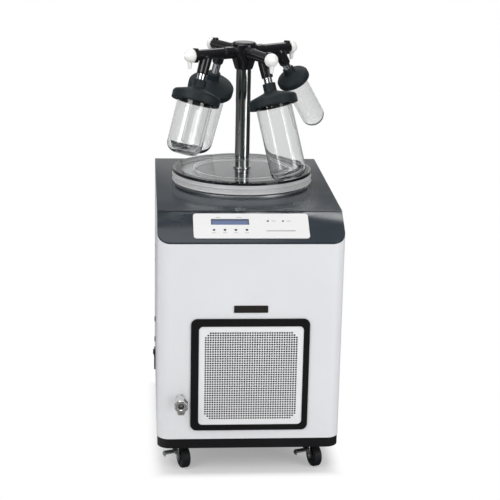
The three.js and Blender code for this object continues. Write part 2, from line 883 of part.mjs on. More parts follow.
/** Rubber valve: a tube on the nipple with a branch that leans down and out. */
function valveBody(arm) {
  const tube = turned(
    [
      [0, hub.bossEnd + fit],
      [valve.collarRadius, hub.bossEnd + fit],
      [valve.collarRadius, valve.collarEnd],
      [valve.radius, valve.collarEnd + 2],
      [valve.radius, valve.end - 1.5],
      [valve.radius - 1.5, valve.end],
      [0, valve.end],
    ]
  );
  const tabs = [-1, 1].map((side) => {
    const z = side * (valve.radius + valve.tabHeight / 2 - 1);
    const [w, h] = [valve.tabWidth / 2, valve.tabHeight / 2 + 1];
    return block(valve.end - valve.tabLength, valve.end - 0.5, -w, w, z - h, z + h);
  });
  const branch = ontoBranch(
    arm,
    turned(
      [
        [0, -valve.branchLength],
        [valve.branchRadius, -valve.branchLength],
        [valve.branchTopRadius, -8],
        [valve.branchTopRadius - 6, 4],
        [0, 4],
      ]
    )
  );
  const mainBore = alongX(rod(valve.bore, 0, valve.end + 1));
  const branchBore = ontoBranch(arm, rod(adapter.radius + fit, -valve.branchLength - 1, -6));
  return cut(join(alongX(tube), ...tabs, branch), mainBore, branchBore);
}

/** Places a body made along -Z on an arm's branch, which leans outwards and swings about the arm. */
function ontoBranch(arm, geometry) {
  return geometry
    .rotateY(-THREE.MathUtils.degToRad(arm.lean))
    .translate(valve.branchX, 0, 0)
    .rotateX(THREE.MathUtils.degToRad(arm.swing));
}

/** Turning knob: a plug in the valve's tube, a domed grip and a vent spout that points down. */
function valveKnob() {
  const start = valve.end + fit;
  const { radius: r, length } = knob;
  const plugRadius = valve.bore - fit;
  const body = turned(
    [
      [0, knob.plugEnd],
      [plugRadius, knob.plugEnd],
      [plugRadius, start],
      [r - 2, start],
      [r, start + 3],
      [r, start + 9],
      [r * 0.8, start + 16],
      [r * 0.3, start + length - 2],
      [0, start + length],
    ]
  );
  const spout = turned(
    [
      [0, -knob.spoutReach],
      [knob.spoutRadius - 1, -knob.spoutReach],
      [knob.spoutRadius, -knob.spoutReach + 3],
      [knob.spoutRadius + 1.6, -r + 3],
      [knob.spoutRadius + 1.6, 0],
      [0, 0],
    ],
    facets.small
  ).translate(start + 9.5, 0, 0);
  const passage = alongX(rod(knob.passage, knob.plugEnd - 1, valve.branchX + 4, facets.small));
  const port = rod(knob.passage - 0.2, -valve.bore - 1, 0, facets.small).translate(valve.branchX, 0, 0);
  return cut(join(alongX(body), spout), passage, port);
}

/** Metal tube between a valve's branch and its flask's cap. */
function flaskAdapter(arm) {
  return ontoBranch(
    arm,
    pipe(adapter.radius, adapter.bore, -arm.neck - adapter.pastNeck, -adapter.start)
  );
}

/** Rubber cap: neck, sloping shoulder, and a thick rim with a seat inside it for the glass. */
function flaskCap(arm) {
  const { cap, glass, neck } = arm;
  const bore = adapter.radius + fit;
  const seatDepth = cap.rimBottom - cap.seat;
  const outline = [
    [bore, 0],
    [cap.neckRadius, 0],
    [cap.neckRadius, cap.neckHeight],
    [cap.radius - 4, cap.rimTop],
    [cap.radius, cap.rimTop + 4],
    [cap.radius, cap.rimBottom],
    [glass.radius + fit, cap.rimBottom],
    [glass.radius + fit, seatDepth],
    [glass.radius - cap.ledge, seatDepth],
    [glass.radius - cap.ledge - 6, cap.rimTop],
    [bore, cap.neckHeight + 5],
  ];
  const points = outline.map(([r, depth]) => [r, -neck - depth]);
  return ontoBranch(arm, turnedRing(points, facets.large));
}

/** Where a flask's rim and its lowest point lie along the branch. */
function glassEnds(arm) {
  const top = arm.neck + arm.cap.rimBottom - arm.cap.seat + fit;
  return { top, bottom: top + arm.glass.length };
}

/** Glass flask: straight wall and a rounded bottom. */
function flask(arm) {
  const { radius, wall, corner } = arm.glass;
  const { top, bottom } = glassEnds(arm);
  const innerCorner = corner - wall;
  const outline = [
    [0, -bottom],
    ...arc(radius - corner, -bottom + corner, corner, -90, 0, 3),
    [radius, -top],
    [radius - wall, -top],
    ...arc(radius - corner, -bottom + corner, innerCorner, 0, -90, 3),
    [0, -bottom + wall],
  ];
  return ontoBranch(arm, turned(outline, facets.large));
}

// ---------------------------------------------------------------- drain coupling

/** Chrome quick coupling on the front panel, made along +Z and then turned out of the front. */
function drainCoupling() {
  const { end, bore, collarStart, collarRadius: c } = drain;
  const body = turned(
    [
      [0, -drain.shankLength],
      [drain.shankRadius - 2, -drain.shankLength],
      [drain.shankRadius, -drain.shankLength + 4],
      [drain.shankRadius, fit],
      [drain.flangeRadius, fit],
      [drain.flangeRadius, fit + drain.flangeThickness],
      [drain.neckRadius, fit + drain.flangeThickness],
      [drain.neckRadius, drain.bodyStart],
      [drain.bodyRadius, drain.bodyStart + 2],
      [drain.bodyRadius, collarStart + 1],
      [0, collarStart + 1],
    ]
  );
  const collar = turned(
    [[0, collarStart], [c - 1.5, collarStart], [c, collarStart + 2], [c, end - 2.5],
      [c - 2.5, end], [0, end]],
    8
  ).rotateZ(Math.PI / 8);
  const floor = end - drain.boreDepth;
  const socket = rod(bore, floor, end + 1);
  const poppet = rod(drain.poppetRadius, floor - 1, end - drain.poppetRecess, facets.small);
  const waterway = rod(2.4, -drain.shankLength - 1, floor - 4, facets.small);
  const [w, t] = [drain.latchHalfWidth + fit, drain.latchThickness / 2 + fit];
  const slotTop = drain.latchTop + drain.latchTravel + fit;
  const slot = block(-w, w, -c - 1, slotTop, drain.latchY - t, drain.latchY + t);
  const hollow = cut(join(body, collar), socket, slot, waterway);
  return outOfFront(join(hollow, poppet)).translate(drain.x, 0, drain.z);
}

/** Thumb latch: a plate in the collar's slot with a pad under it. It slides up when pressed. */
function drainLatch() {
  const { latchHalfWidth: w, latchY: y, latchTravel: travel, latchEye: eye } = drain;
  const t = drain.latchThickness / 2;
  const padTop = -drain.collarRadius - travel - fit;
  const half = drain.padWidth / 2;
  const plate = block(-w, w, padTop - 1, drain.latchTop, y - t, y + t);
  const pad = block(-half, half, padTop - drain.padThickness, padTop, y - 5, y + 5);
  const opening = rod(eye, y - 3, y + 3);
  const pressedOpening = rod(eye, y - 3, y + 3).translate(0, -travel, 0);
  return outOfFront(cut(join(plate, pad), opening, pressedOpening)).translate(drain.x, 0, drain.z);
}

/** Hose from the chamber's drain spigot to the back of the coupling, along a smooth curve. */
function drainHose() {
  const from = new THREE.Vector3(0, chamber.centreY, drainTip + 12);
  const to = new THREE.Vector3(drain.x, drain.shankLength - 8, drain.z);
  const path = new THREE.CatmullRomCurve3([
    from,
    new THREE.Vector3(0, chamber.centreY, drainTip - 18),
    new THREE.Vector3(drain.x * 0.55, chamber.centreY - 75, drain.z + 78),
    new THREE.Vector3(drain.x, 190, drain.z + 14),
    new THREE.Vector3(drain.x, 70, drain.z),
    to,
  ]);
  const ring = new THREE.Shape();
  ring.absarc(0, 0, drain.hoseRadius + 1.6, 0, 2 * Math.PI);
  const solid = new THREE.ExtrudeGeometry(ring, {
    steps: 24,
    curveSegments: 3,
    bevelEnabled: false,
    extrudePath: path,
  });
  const spigot = rod(chamber.drainRadius + fit, drainTip - 1, drainTip + 40)
    .translate(0, chamber.centreY, 0);
  const barb = outOfFront(rod(drain.shankRadius + fit, -drain.shankLength - 1, 5))
    .translate(drain.x, 0, drain.z);
  return cut(solid, spigot, barb);
}

// ---------------------------------------------------------------- refrigeration

/** Hermetic compressor: a welded can on a mounting plate. */
function refrigerationCompressor() {
  const { radius, height, footRadius, footThickness } = compressor;
  const bottom = floorTop + fit;
  const can = turned(
    [
      [0, bottom],
      [footRadius, bottom],
      [footRadius, bottom + footThickness],
      [radius - 8, bottom + footThickness],
      [radius - 2, bottom + 14],
      [radius - 2, bottom + height * 0.48],
      [radius, bottom + height * 0.48],
      [radius, bottom + height * 0.54],
      [radius - 2, bottom + height * 0.54],
      [radius - 2, bottom + height - 32],
      [radius - 14, bottom + height - 10],
      [radius - 34, bottom + height],
      [0, bottom + height],
    ],
    facets.large
  );
  return can.translate(compressor.x, compressor.y, 0);
}

/** Finned condenser: one tube wound back and forth through a stack of fins, on two feet. */
function condenserCoil() {
  const { width, depth, y, height, tube, fins, rows, bottomGap } = condenser;
  const bottom = floorTop + bottomGap;
  const half = width / 2;
  const pack = block(-half + 14, half - 14, y, y + depth, bottom, bottom + height);
  const grooves = [];
  for (let i = 1; i < fins; i += 1) {
    const x = -half + 14 + ((width - 28) * i) / fins;
    grooves.push(block(x - 4, x + 4, y + 4, y + depth + 1, bottom - 1, bottom + height + 1));
  }
  const rise = height / rows;
  const pieces = [];
  for (let i = 0; i < rows; i += 1) {
    const z = bottom + rise * (i + 0.5);
    pieces.push(alongX(rod(tube, -half + 6, half - 6, 8)).translate(0, y + depth / 2, z));
    if (i > 0) {
      const side = i % 2 ? 1 : -1;
      const x = side * (half - 6);
      pieces.push(rod(tube, z - rise, z, 8).translate(x, y + depth / 2, 0));
    }
  }
  const feet = [-1, 1].map((side) => {
    const x = side * (half - 22);
    return block(x - 7, x + 7, y, y + depth, floorTop + fit, bottom + 1);
  });
  return join(cut(pack, ...grooves), ...pieces, ...feet);
}

/** Axial fan rotor on its shaft, turning about the Y axis. */
function fanRotor() {
  const { radius, hubRadius, thickness, shaftRadius, blades } = fan;
  const pieces = [rod(hubRadius, 0, thickness)];
  pieces.push(rod(shaftRadius, thickness - 1, motor.y - fan.y + 12, facets.small));
  for (let i = 0; i < blades; i += 1) {
    const blade = block(hubRadius - 5, radius, -26, 26, -1, 1);
    blade.rotateX(THREE.MathUtils.degToRad(17)).rotateZ((2 * Math.PI * i) / blades);
    pieces.push(blade.translate(0, 0, thickness / 2));
  }
  return outOfRear(join(...pieces)).translate(0, fan.y, fan.z);
}

/** Fan motor on a foot plate, with a bore for the rotor's shaft. */
function fanMotor() {
  const { radius, length, footWidth, footThickness, y } = motor;
  const can = outOfRear(rod(radius, 0, length)).translate(0, y, fan.z);
  const post = block(-12, 12, y + 10, y + length - 10, floorTop + fit, fan.z - radius + 4);
  const foot = block(
    -footWidth / 2,
    footWidth / 2,
    y,
    y + length,
    floorTop + fit,
    floorTop + fit + footThickness
  );
  const bore = outOfRear(rod(fan.shaftRadius + fit, -1, 13, facets.small)).translate(0, y, fan.z);
  return cut(join(can, post, foot), bore);
}

// ---------------------------------------------------------------- mains fittings
// Both are made with +Z out of the left side panel and +Y up, and powerGroup turns them.

/** Moulded power entry: flange, mains socket with three pins, and a pocket for the rocker. */
function powerInlet() {
  const e = powerEntry;
  const face = fit + e.flange;
  const [w, h] = [e.width / 2, e.height / 2];
  const [bodyW, bodyH] = [w - e.bodyMargin, h - e.bodyMargin];
  const flange = prism(roundedRectangle(e.width, e.height, 3), fit, face, 3);
  const body = block(-bodyW, bodyW, -bodyH, bodyH, face - e.bodyDepth, fit + 0.5);
  const [socketW, socketH] = [e.socketWidth / 2, e.socketHeight / 2];
  const floor = face - e.socketDepth;
  const socket = block(-socketW, socketW, e.socketV - socketH, e.socketV + socketH, floor, 9);
  const pins = [[-1, -2], [0, 2], [1, -2]].map(([side, rise]) =>
    block(-1, 1, -2.2, 2.2, floor - 1, face - e.pinRecess)
      .translate(side * e.pinPitch, e.socketV + rise, 0)
  );
  const [pocketW, pocketH] = [e.rockerWidth / 2, e.rockerHeight / 2];
  const pocket = block(-pocketW, pocketW, -pocketH, pocketH, face - e.rockerDepth, 9);
  const pinReach = pocketH + 1.5;
  const pinHole = rod(rocker.pinRadius + fit, -pinReach, pinReach, 8)
    .rotateX(Math.PI / 2)
    .translate(0, 0, face - rocker.pinDepth);
  const hollows = [pocket, pinHole].map((geometry) => geometry.translate(0, e.rockerV, 0));
  return join(cut(join(flange, body), socket, ...hollows), ...pins);
}

/** Rocker of the mains switch on its pin, about which it stands tilted to its off side. */
function powerRocker() {
  const { halfLength: l, proud, dip, pinDepth, pinRadius, tilt } = rocker;
  const half = powerEntry.rockerHeight / 2 - fit;
  const outline = new THREE.Shape();
  outline.moveTo(-l, pinDepth + proud);
  outline.lineTo(0, pinDepth + dip);
  outline.lineTo(l, pinDepth + proud);
  outline.lineTo(l - 0.8, -2);
  outline.lineTo(2.5, -7);
  outline.lineTo(-2.5, -7);
  outline.lineTo(-l + 0.8, -2);
  const cap = prism(outline, -half, half).rotateX(Math.PI / 2);
  const pin = rod(pinRadius, -half - 1.2, half + 1.2, 8).rotateX(Math.PI / 2);
  return join(cap, pin)
    .rotateY(THREE.MathUtils.degToRad(tilt))
    .translate(0, powerEntry.rockerV, fit + powerEntry.flange - pinDepth);
}

// ---------------------------------------------------------------- assembly

/** A named piece of the dryer, closed and facing out. */
function piece(name, geometry, material) {
  const mesh = new THREE.Mesh(toGeometry(toSolid(geometry)), material());
  mesh.name = name;
  return mesh;
}

/** Cabinet panels, base, cover, grille and nameplate. */
function cabinetGroup() {
  const group = new THREE.Group();
  group.add(
    piece('base_tray', baseTray(), finishes.blackPaint),
    piece('front_panel', frontPanel(), finishes.whitePaint),
    piece('left_side_panel', sidePanel(-1), finishes.whitePaint),
    piece('right_side_panel', sidePanel(1), finishes.whitePaint),
    piece('rear_panel', rearPanel(), finishes.whitePaint),
    piece('top_cover', topCover(), finishes.greyPaint),
    piece('grille_frame', grilleFrame(), finishes.blackPlastic),
    piece('grille_panel', grillePanel(), finishes.whitePaint),
    piece('blank_nameplate', blankNameplate(), finishes.blackPlastic)
  );
  return group;
}

/** Control panel, buttons and board, leaning with the fascia. */
function fasciaGroup() {
  const group = new THREE.Group();
  group.add(
    piece('control_panel', controlPanel(), finishes.whitePlastic),
    piece('control_board', controlBoard(), finishes.bluePanel)
  );
  buttonPlaces().forEach(({ x, y }, i) => {
    const button = piece(`button_${i + 1}`, pushButton(), finishes.blackPlastic);
    button.position.set(x, y, 0);
    group.add(button);
  });
  group.rotation.x = slopeAngle;
  group.position.set(0, cabinet.slopeRun / 2, deck - cabinet.slopeDrop / 2);
  return group;
}

/** Ice chamber with its jacket, gasket and lid. */
function chamberGroup() {
  const group = new THREE.Group();
  group.add(
    piece('ice_chamber', iceChamber(), finishes.stainless),
    piece('chamber_insulation', chamberInsulation(), finishes.foam),
    piece('chamber_gasket', chamberGasket(), finishes.rubber),
    piece('chamber_lid', chamberLid(), finishes.acrylic)
  );
  return group;
}

/** One arm of the manifold, made along +X and turned to its bearing. */
function armGroup(arm) {
  const group = new THREE.Group();
  group.add(
    piece(`valve_body_${arm.name}`, valveBody(arm), finishes.blackPlastic),
    piece(`valve_knob_${arm.name}`, valveKnob(), finishes.whitePlastic),
    piece(`flask_adapter_${arm.name}`, flaskAdapter(arm), finishes.chrome),
    piece(`flask_cap_${arm.name}`, flaskCap(arm), finishes.rubber),
    piece(`flask_${arm.name}`, flask(arm), finishes.glass)
  );
  group.rotation.z = THREE.MathUtils.degToRad(arm.bearing);
  group.position.z = hub.armHeight;
  return group;
}

/** Column, hub and the four arms, on the lid's axis. */
function manifoldGroup() {
  const group = new THREE.Group();
  group.add(
    piece('manifold_column', manifoldColumn(), finishes.stainless),
    piece('manifold_hub', manifoldHub(), finishes.blackPlastic),
    ...arms.map(armGroup)
  );
  group.position.set(0, chamber.centreY, deck);
  return group;
}

/** One caster: fork, wheel, and a brake pedal on the front pair. */
function casterGroup({ name, x, y, braked }) {
  const group = new THREE.Group();
  const wheel = piece(`caster_wheel_${name}`, casterWheel(), finishes.tyre);
  wheel.position.set(0, -caster.trail, caster.wheelRadius);
  group.add(piece(`caster_fork_${name}`, casterFork(braked), finishes.blackPaint), wheel);
  if (braked) group.add(piece(`brake_pedal_${name}`, brakePedal(), finishes.blackPlastic));
  group.rotation.z = THREE.MathUtils.degToRad(caster.turn);
  group.position.set(x, y, 0);
  return group;
}

/** Drain coupling with its latch and hose. */
function drainGroup() {
  const group = new THREE.Group();
  group.add(
    piece('drain_coupling', drainCoupling(), finishes.chrome),
    piece('drain_latch', drainLatch(), finishes.chrome),
    piece('drain_hose', drainHose(), finishes.rubber)
  );
  return group;
}

/** Compressor, condenser and fan, standing on the base tray. */
function refrigerationGroup() {
  const group = new THREE.Group();
  group.add(
    piece('compressor', refrigerationCompressor(), finishes.compressorPaint),
    piece('condenser_coil', condenserCoil(), finishes.aluminium),
    piece('fan_rotor', fanRotor(), finishes.blackPlastic),
    piece('fan_motor', fanMotor(), finishes.steel)
  );
  return group;
}

/** Power entry module with its rocker, in the left side panel. */
function powerGroup() {
  const group = new THREE.Group();
  const place = (geometry) => outOfLeft(geometry).translate(-halfWidth, powerEntry.y, powerEntry.z);
  group.add(
    piece('power_inlet', place(powerInlet()), finishes.blackPlastic),
    piece('power_rocker', place(powerRocker()), finishes.blackPlastic)
  );
  return group;
}

/** The whole dryer, with its origin on the floor under the middle of its bounding box. */
function freezeDryer() {
  const dryer = new THREE.Group();
  dryer.name = 'freeze_dryer';
  dryer.add(
    cabinetGroup(),
    fasciaGroup(),
    chamberGroup(),
    manifoldGroup(),
    ...casterPlaces().map(casterGroup),
    drainGroup(),
    refrigerationGroup(),
    powerGroup()
  );
  dryer.updateMatrixWorld(true);
  const box = new THREE.Box3().setFromObject(dryer, true);
  dryer.position.set(-(box.min.x + box.max.x) / 2, -(box.min.y + box.max.y) / 2, -box.min.z);
  return dryer;
}

export default freezeDryer();
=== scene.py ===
"""Looks of a floor-standing laboratory freeze dryer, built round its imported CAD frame.

Every length is in metres and every place is worked out from the frame: the boxes of its nodes, the axes of
its turned pieces and its joints. Each sub-assembly is a class, each finish is a frozen dataclass.
"""
import json
import logging
import math
from dataclasses import dataclass, field
from enum import Enum
from typing import Callable, Optional, Sequence

import bmesh
import bpy
import numpy as np
from mathutils import Matrix, Vector
from mathutils.geometry import delaunay_2d_cdt

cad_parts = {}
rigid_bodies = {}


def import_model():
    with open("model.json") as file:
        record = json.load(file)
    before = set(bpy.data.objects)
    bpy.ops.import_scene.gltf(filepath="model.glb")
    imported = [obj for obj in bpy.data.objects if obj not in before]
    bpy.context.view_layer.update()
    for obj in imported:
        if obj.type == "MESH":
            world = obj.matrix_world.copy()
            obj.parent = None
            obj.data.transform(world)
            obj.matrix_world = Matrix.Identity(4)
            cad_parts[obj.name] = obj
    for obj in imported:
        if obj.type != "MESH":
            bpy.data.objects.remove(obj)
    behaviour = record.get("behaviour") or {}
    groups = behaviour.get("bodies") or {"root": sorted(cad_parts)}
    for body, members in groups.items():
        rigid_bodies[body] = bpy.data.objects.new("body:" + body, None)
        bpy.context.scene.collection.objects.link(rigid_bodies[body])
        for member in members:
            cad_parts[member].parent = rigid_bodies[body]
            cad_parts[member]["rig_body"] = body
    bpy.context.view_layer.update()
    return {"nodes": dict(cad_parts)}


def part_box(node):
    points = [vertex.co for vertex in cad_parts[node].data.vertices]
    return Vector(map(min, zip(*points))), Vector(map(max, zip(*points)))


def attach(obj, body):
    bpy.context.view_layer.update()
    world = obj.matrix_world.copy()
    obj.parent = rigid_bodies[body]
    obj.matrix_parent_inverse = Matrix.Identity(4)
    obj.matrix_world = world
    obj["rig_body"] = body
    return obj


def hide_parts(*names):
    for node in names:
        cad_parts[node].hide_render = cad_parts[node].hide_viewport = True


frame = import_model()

LOG = logging.getLogger("freeze_dryer")
MM = 0.001
Colour = tuple[float, float, float]
Points = np.ndarray


# ---------------------------------------------------------------- reading the frame


def corners(node: str) -> tuple[Points, Points]:
    """Lowest and highest corner of a CAD node at rest, as arrays."""
    low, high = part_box(node)
    return np.array(low), np.array(high)


# ---------------------------------------------------------------- surfaces


@dataclass
class Surface:
    """Vertices with four-sided and three-sided faces, before they become a mesh."""

    vertices: Points
    quads: np.ndarray = field(default_factory=lambda: np.zeros((0, 4), int))
    triangles: np.ndarray = field(default_factory=lambda: np.zeros((0, 3), int))

    def placed(self, matrix: np.ndarray) -> "Surface":
        """The surface moved by a 4 by 4 matrix."""
        moved = self.vertices @ matrix[:3, :3].T + matrix[:3, 3]
        return Surface(moved, self.quads, self.triangles)

    def shifted(self, x: float = 0.0, y: float = 0.0, z: float = 0.0) -> "Surface":
        """The surface moved without turning."""
        return Surface(self.vertices + np.array([x, y, z]), self.quads, self.triangles)

    def joined(self, *others: "Surface") -> "Surface":
        """This surface and others as one.

        Args:
            others: The surfaces to add.

        Returns:
            One surface, in which each part's faces are numbered from where its vertices start.
        """
        parts = [self, *others]
        starts = np.cumsum([0] + [len(part.vertices) for part in parts[:-1]])
        return Surface(
            np.concatenate([part.vertices for part in parts]),
            np.concatenate([part.quads + start for part, start in zip(parts, starts)]),
            np.concatenate([part.triangles + start for part, start in zip(parts, starts)]),
        )

    def mesh(self, name: str) -> bpy.types.Mesh:
        """Makes a mesh with its doubles merged and its faces pointing out.

        Args:
            name: The mesh's name.

        Returns:
            The mesh.
        """
        data = bpy.data.meshes.new(name)
        data.from_pydata(self.vertices.tolist(), [], self.quads.tolist() + self.triangles.tolist())
        work = bmesh.new()
        work.from_mesh(data)
        bmesh.ops.remove_doubles(work, verts=work.verts, dist=1e-6)
        bmesh.ops.dissolve_degenerate(work, edges=work.edges, dist=1e-7)
        bmesh.ops.recalc_face_normals(work, faces=work.faces)
        work.to_mesh(data)
        work.free()
        return data


def grid_faces(rows: int, columns: int, wrap_rows: bool, wrap_columns: bool) -> np.ndarray:
    """Faces between neighbouring points of a grid that is numbered row by row.

    Args:
        rows: How many rows of points there are.
        columns: How many points a row has.
        wrap_rows: Whether the last row meets the first.
        wrap_columns: Whether each row's end meets its start.

    Returns:
        Rows of four point numbers.
    """
    i = np.arange(rows if wrap_rows else rows - 1)
    j = np.arange(columns if wrap_columns else columns - 1)
    a, b = np.meshgrid(i, j, indexing="ij")
    a, b = a.ravel(), b.ravel()
    nexta, nextb = (a + 1) % rows, (b + 1) % columns
    return np.stack([a * columns + b, a * columns + nextb, nexta * columns + nextb, nexta * columns + b], 1)


def grid(points: Points, wrap_rows: bool = False, wrap_columns: bool = False) -> Surface:
    """A surface through a rows by columns by 3 array of points."""
    rows, columns = points.shape[:2]
    return Surface(points.reshape(-1, 3), grid_faces(rows, columns, wrap_rows, wrap_columns))


def rounded(corners_mm: Sequence[tuple[float, ...]], closed: bool = False, step: float = 12.0) -> Points:
    """A profile through corners, each replaced by an arc tangent to its two sides.

    An arc of radius r at a corner whose sides meet at an angle of 2h starts r / tan(h) before the corner.
    Two arcs that want more of a side than it has are both cut down in proportion. An arc has a point for
    every so many degrees.

    Args:
        corners_mm: Rows of x, y and, where the corner is rounded, its radius, in millimetres.
        closed: Whether the profile returns to its first corner.
        step: Degrees between points of an arc.

    Returns:
        The profile's points, in metres.
    """
    places = np.array([corner[:2] for corner in corners_mm], float)
    radii = np.array([corner[2] if len(corner) > 2 else 0.0 for corner in corners_mm])
    if not closed:
        radii[[0, -1]] = 0.0
    after = np.roll(places, -1, axis=0) - places
    reach = np.linalg.norm(after, axis=1)
    onward = after / np.maximum(reach, 1e-9)[:, None]
    back = -np.roll(onward, 1, axis=0)
    half = 0.5 * np.arccos(np.clip(np.sum(onward * back, axis=1), -1.0, 1.0))
    radii[math.pi / 2 - half < 1e-3] = 0.0
    want = radii / np.tan(np.maximum(half, 1e-3))
    share = np.minimum(1.0, 0.98 * reach / np.maximum(want + np.roll(want, -1), 1e-9))
    share = np.minimum(share, np.roll(share, 1))
    out: list[np.ndarray] = []
    for here, way_in, way_on, angle, cut, radius in zip(places, back, onward, half,
                                                         want * share, radii * share):
        if radius <= 0:
            out.append(here[None])
            continue
        centre = here + (way_in + way_on) / np.linalg.norm(way_in + way_on) * radius / math.sin(angle)
        start, end = here + way_in * cut - centre, here + way_on * cut - centre
        sweep = math.atan2(start[0] * end[1] - start[1] * end[0], start @ end)
        turns = np.linspace(0, sweep, max(3, int(abs(math.degrees(sweep)) / step) + 2))
        out.append(centre + np.stack([start[0] * np.cos(turns) - start[1] * np.sin(turns),
                                      start[0] * np.sin(turns) + start[1] * np.cos(turns)], 1))
    return np.concatenate(out) * MM


def revolved(profile: Points, closed: bool = False, segments: int = 72,
             bulge: Optional[Callable[[np.ndarray], np.ndarray]] = None) -> Surface:
    """A body turned about Z: each profile point (r, z) becomes (r cos a, r sin a, z) for all angles a.

    Args:
        profile: Radius and height of each point, in metres. It starts and ends on the axis, or is closed.
        closed: Whether the profile is a closed outline away from the axis.
        segments: Steps round the axis.
        bulge: A factor on the radius for each angle, for a body that isn't quite round.

    Returns:
        The surface, whose poles close when doubles are merged.
    """
    angles = np.linspace(0, 2 * math.pi, segments, endpoint=False)
    factor = np.ones(segments) if bulge is None else bulge(angles)
    radius, height = profile[:, 0][:, None], profile[:, 1][:, None]
    points = np.stack([radius * factor * np.cos(angles), radius * factor * np.sin(angles),
                       np.broadcast_to(height, (len(profile), segments))], 2)
    return grid(points, wrap_rows=closed, wrap_columns=True)


def rounded_rectangle(width: float, height: float, radius: float, steps: int = 8) -> Points:
    """Outline of a rectangle about the origin with quarter circles at its corners, counter-clockwise.

    Args:
        width: Its size along X.
        height: Its size along Y.
        radius: Radius of its corners.
        steps: Steps round each corner.

    Returns:
        The outline's points.
    """
    radius = max(radius, 1e-5)
    angles = np.linspace(0, math.pi / 2, steps + 1)
    arcs = []
    for quarter, (sx, sy) in enumerate([(1, 1), (-1, 1), (-1, -1), (1, -1)]):
        turn = angles + quarter * math.pi / 2
        arcs.append(np.stack([sx * (width / 2 - radius) + radius * np.cos(turn),
                              sy * (height / 2 - radius) + radius * np.sin(turn)], 1))
    return np.concatenate(arcs)


def filled(outer: Points, holes: Sequence[Points], z: float) -> Surface:
    """A flat face at a height, bounded by an outline and with holes left out.

    Args:
        outer: The outline's points.
        holes: The outline of each hole.
        z: The height.

    Returns:
        Triangles from a constrained triangulation of the outline and its holes.
    """
    loops = [outer, *holes]
    starts = np.cumsum([0] + [len(loop) for loop in loops[:-1]])
    rims = [start + np.arange(len(loop)) for start, loop in zip(starts, loops)]
    edges = np.concatenate([np.stack([rim, np.roll(rim, -1)], 1) for rim in rims])
    points = list(map(Vector, np.concatenate(loops).tolist()))
    places, _, found, *_ = delaunay_2d_cdt(points, list(map(tuple, edges.tolist())), [], 0, 1e-9)
    flat = np.array([tuple(place) for place in places])
    triangles = np.array([list(face) for face in found if len(face) == 3])
    middle = flat[triangles].mean(axis=1)
    keep = inside(middle, outer)
    for hole in holes:
        keep &= ~inside(middle, hole)
    return Surface(np.column_stack([flat, np.full(len(flat), z)]), triangles=triangles[keep])


def inside(points: Points, loop: Points) -> np.ndarray:
    """Whether each point lies within a closed outline, by counting the sides to its right.

    Args:
        points: The points.
        loop: The outline.

    Returns:
        True for each point inside.
    """
    a, b = loop, np.roll(loop, -1, axis=0)
    x, y = points[:, 0][:, None], points[:, 1][:, None]
    spans = (a[:, 1] > y) != (b[:, 1] > y)
    rise = np.where(b[:, 1] == a[:, 1], 1e-12, b[:, 1] - a[:, 1])
    crossing = a[:, 0] + (y - a[:, 1]) * (b[:, 0] - a[:, 0]) / rise
    return (np.sum(spans & (x < crossing), axis=1) % 2).astype(bool)


def slab(outline: Callable[[float], Points], thickness: float, edge: float,
         holes: Sequence[Points] = (), steps: int = 4) -> Surface:
    """A plate from z = 0 up, whose upper rim is rounded.

    The rim is a quarter circle of the edge's radius: at angle a the outline is drawn in by
    edge * (1 - cos a) and lies edge * (1 - sin a) below the top.

    Args:
        outline: Gives the outline drawn in by a distance.
        thickness: Height of the plate.
        edge: Radius of the rounded upper rim.
        holes: Outlines cut through the plate.
        steps: Steps round the rim.

    Returns:
        A closed surface.
    """
    angles = np.linspace(0, math.pi / 2, steps + 1)
    insets = np.concatenate([[0.0], edge * (1 - np.cos(angles))])
    heights = np.concatenate([[0.0], thickness - edge * (1 - np.sin(angles))])
    rim = np.stack([np.column_stack([outline(d), np.full(len(outline(d)), z)])
                    for d, z in zip(insets, heights)])
    parts = [filled(outline(edge), holes, thickness), filled(outline(0.0), holes, 0.0)]
    for hole in holes:
        walls = [np.column_stack([hole, np.full(len(hole), z)]) for z in (0.0, thickness)]
        parts.append(grid(np.stack(walls), wrap_columns=True))
    return grid(rim, wrap_columns=True).joined(*parts)


def rounded_slab(width: float, height: float, radius: float, thickness: float, edge: float,
                 holes: Sequence[Points] = ()) -> Surface:
    """A round-cornered rectangular plate from z = 0 up with a rounded upper rim.

    Args:
        width: Its size along X.
        height: Its size along Y.
        radius: Radius of its corners.
        thickness: Height of the plate.
        edge: Radius of the rounded upper rim.
        holes: Outlines cut through the plate.

    Returns:
        A closed surface.
    """
    def outline(inset: float) -> Points:
        """The outline drawn in by a distance."""
        return rounded_rectangle(width - 2 * inset, height - 2 * inset, radius - inset)

    return slab(outline, thickness, edge, holes)


def circle(radius: float, x: float = 0.0, y: float = 0.0, steps: int = 32) -> Points:
    """Points round a circle."""
    angles = np.linspace(0, 2 * math.pi, steps, endpoint=False)
    return np.stack([x + radius * np.cos(angles), y + radius * np.sin(angles)], 1)


def brick(low: Sequence[float], high: Sequence[float]) -> Surface:
    """A block between two corners.

    Args:
        low: The lowest corner.
        high: The highest corner.

    Returns:
        A closed surface.
    """
    low, high = np.asarray(low, float), np.asarray(high, float)
    unit = np.array([[x, y, z] for z in (0, 1) for y in (0, 1) for x in (0, 1)], float)
    quads = np.array([[0, 2, 3, 1], [4, 5, 7, 6], [0, 1, 5, 4], [2, 6, 7, 3], [0, 4, 6, 2], [1, 3, 7, 5]])
    return Surface(low + unit * (high - low), quads)


# ---------------------------------------------------------------- pieces


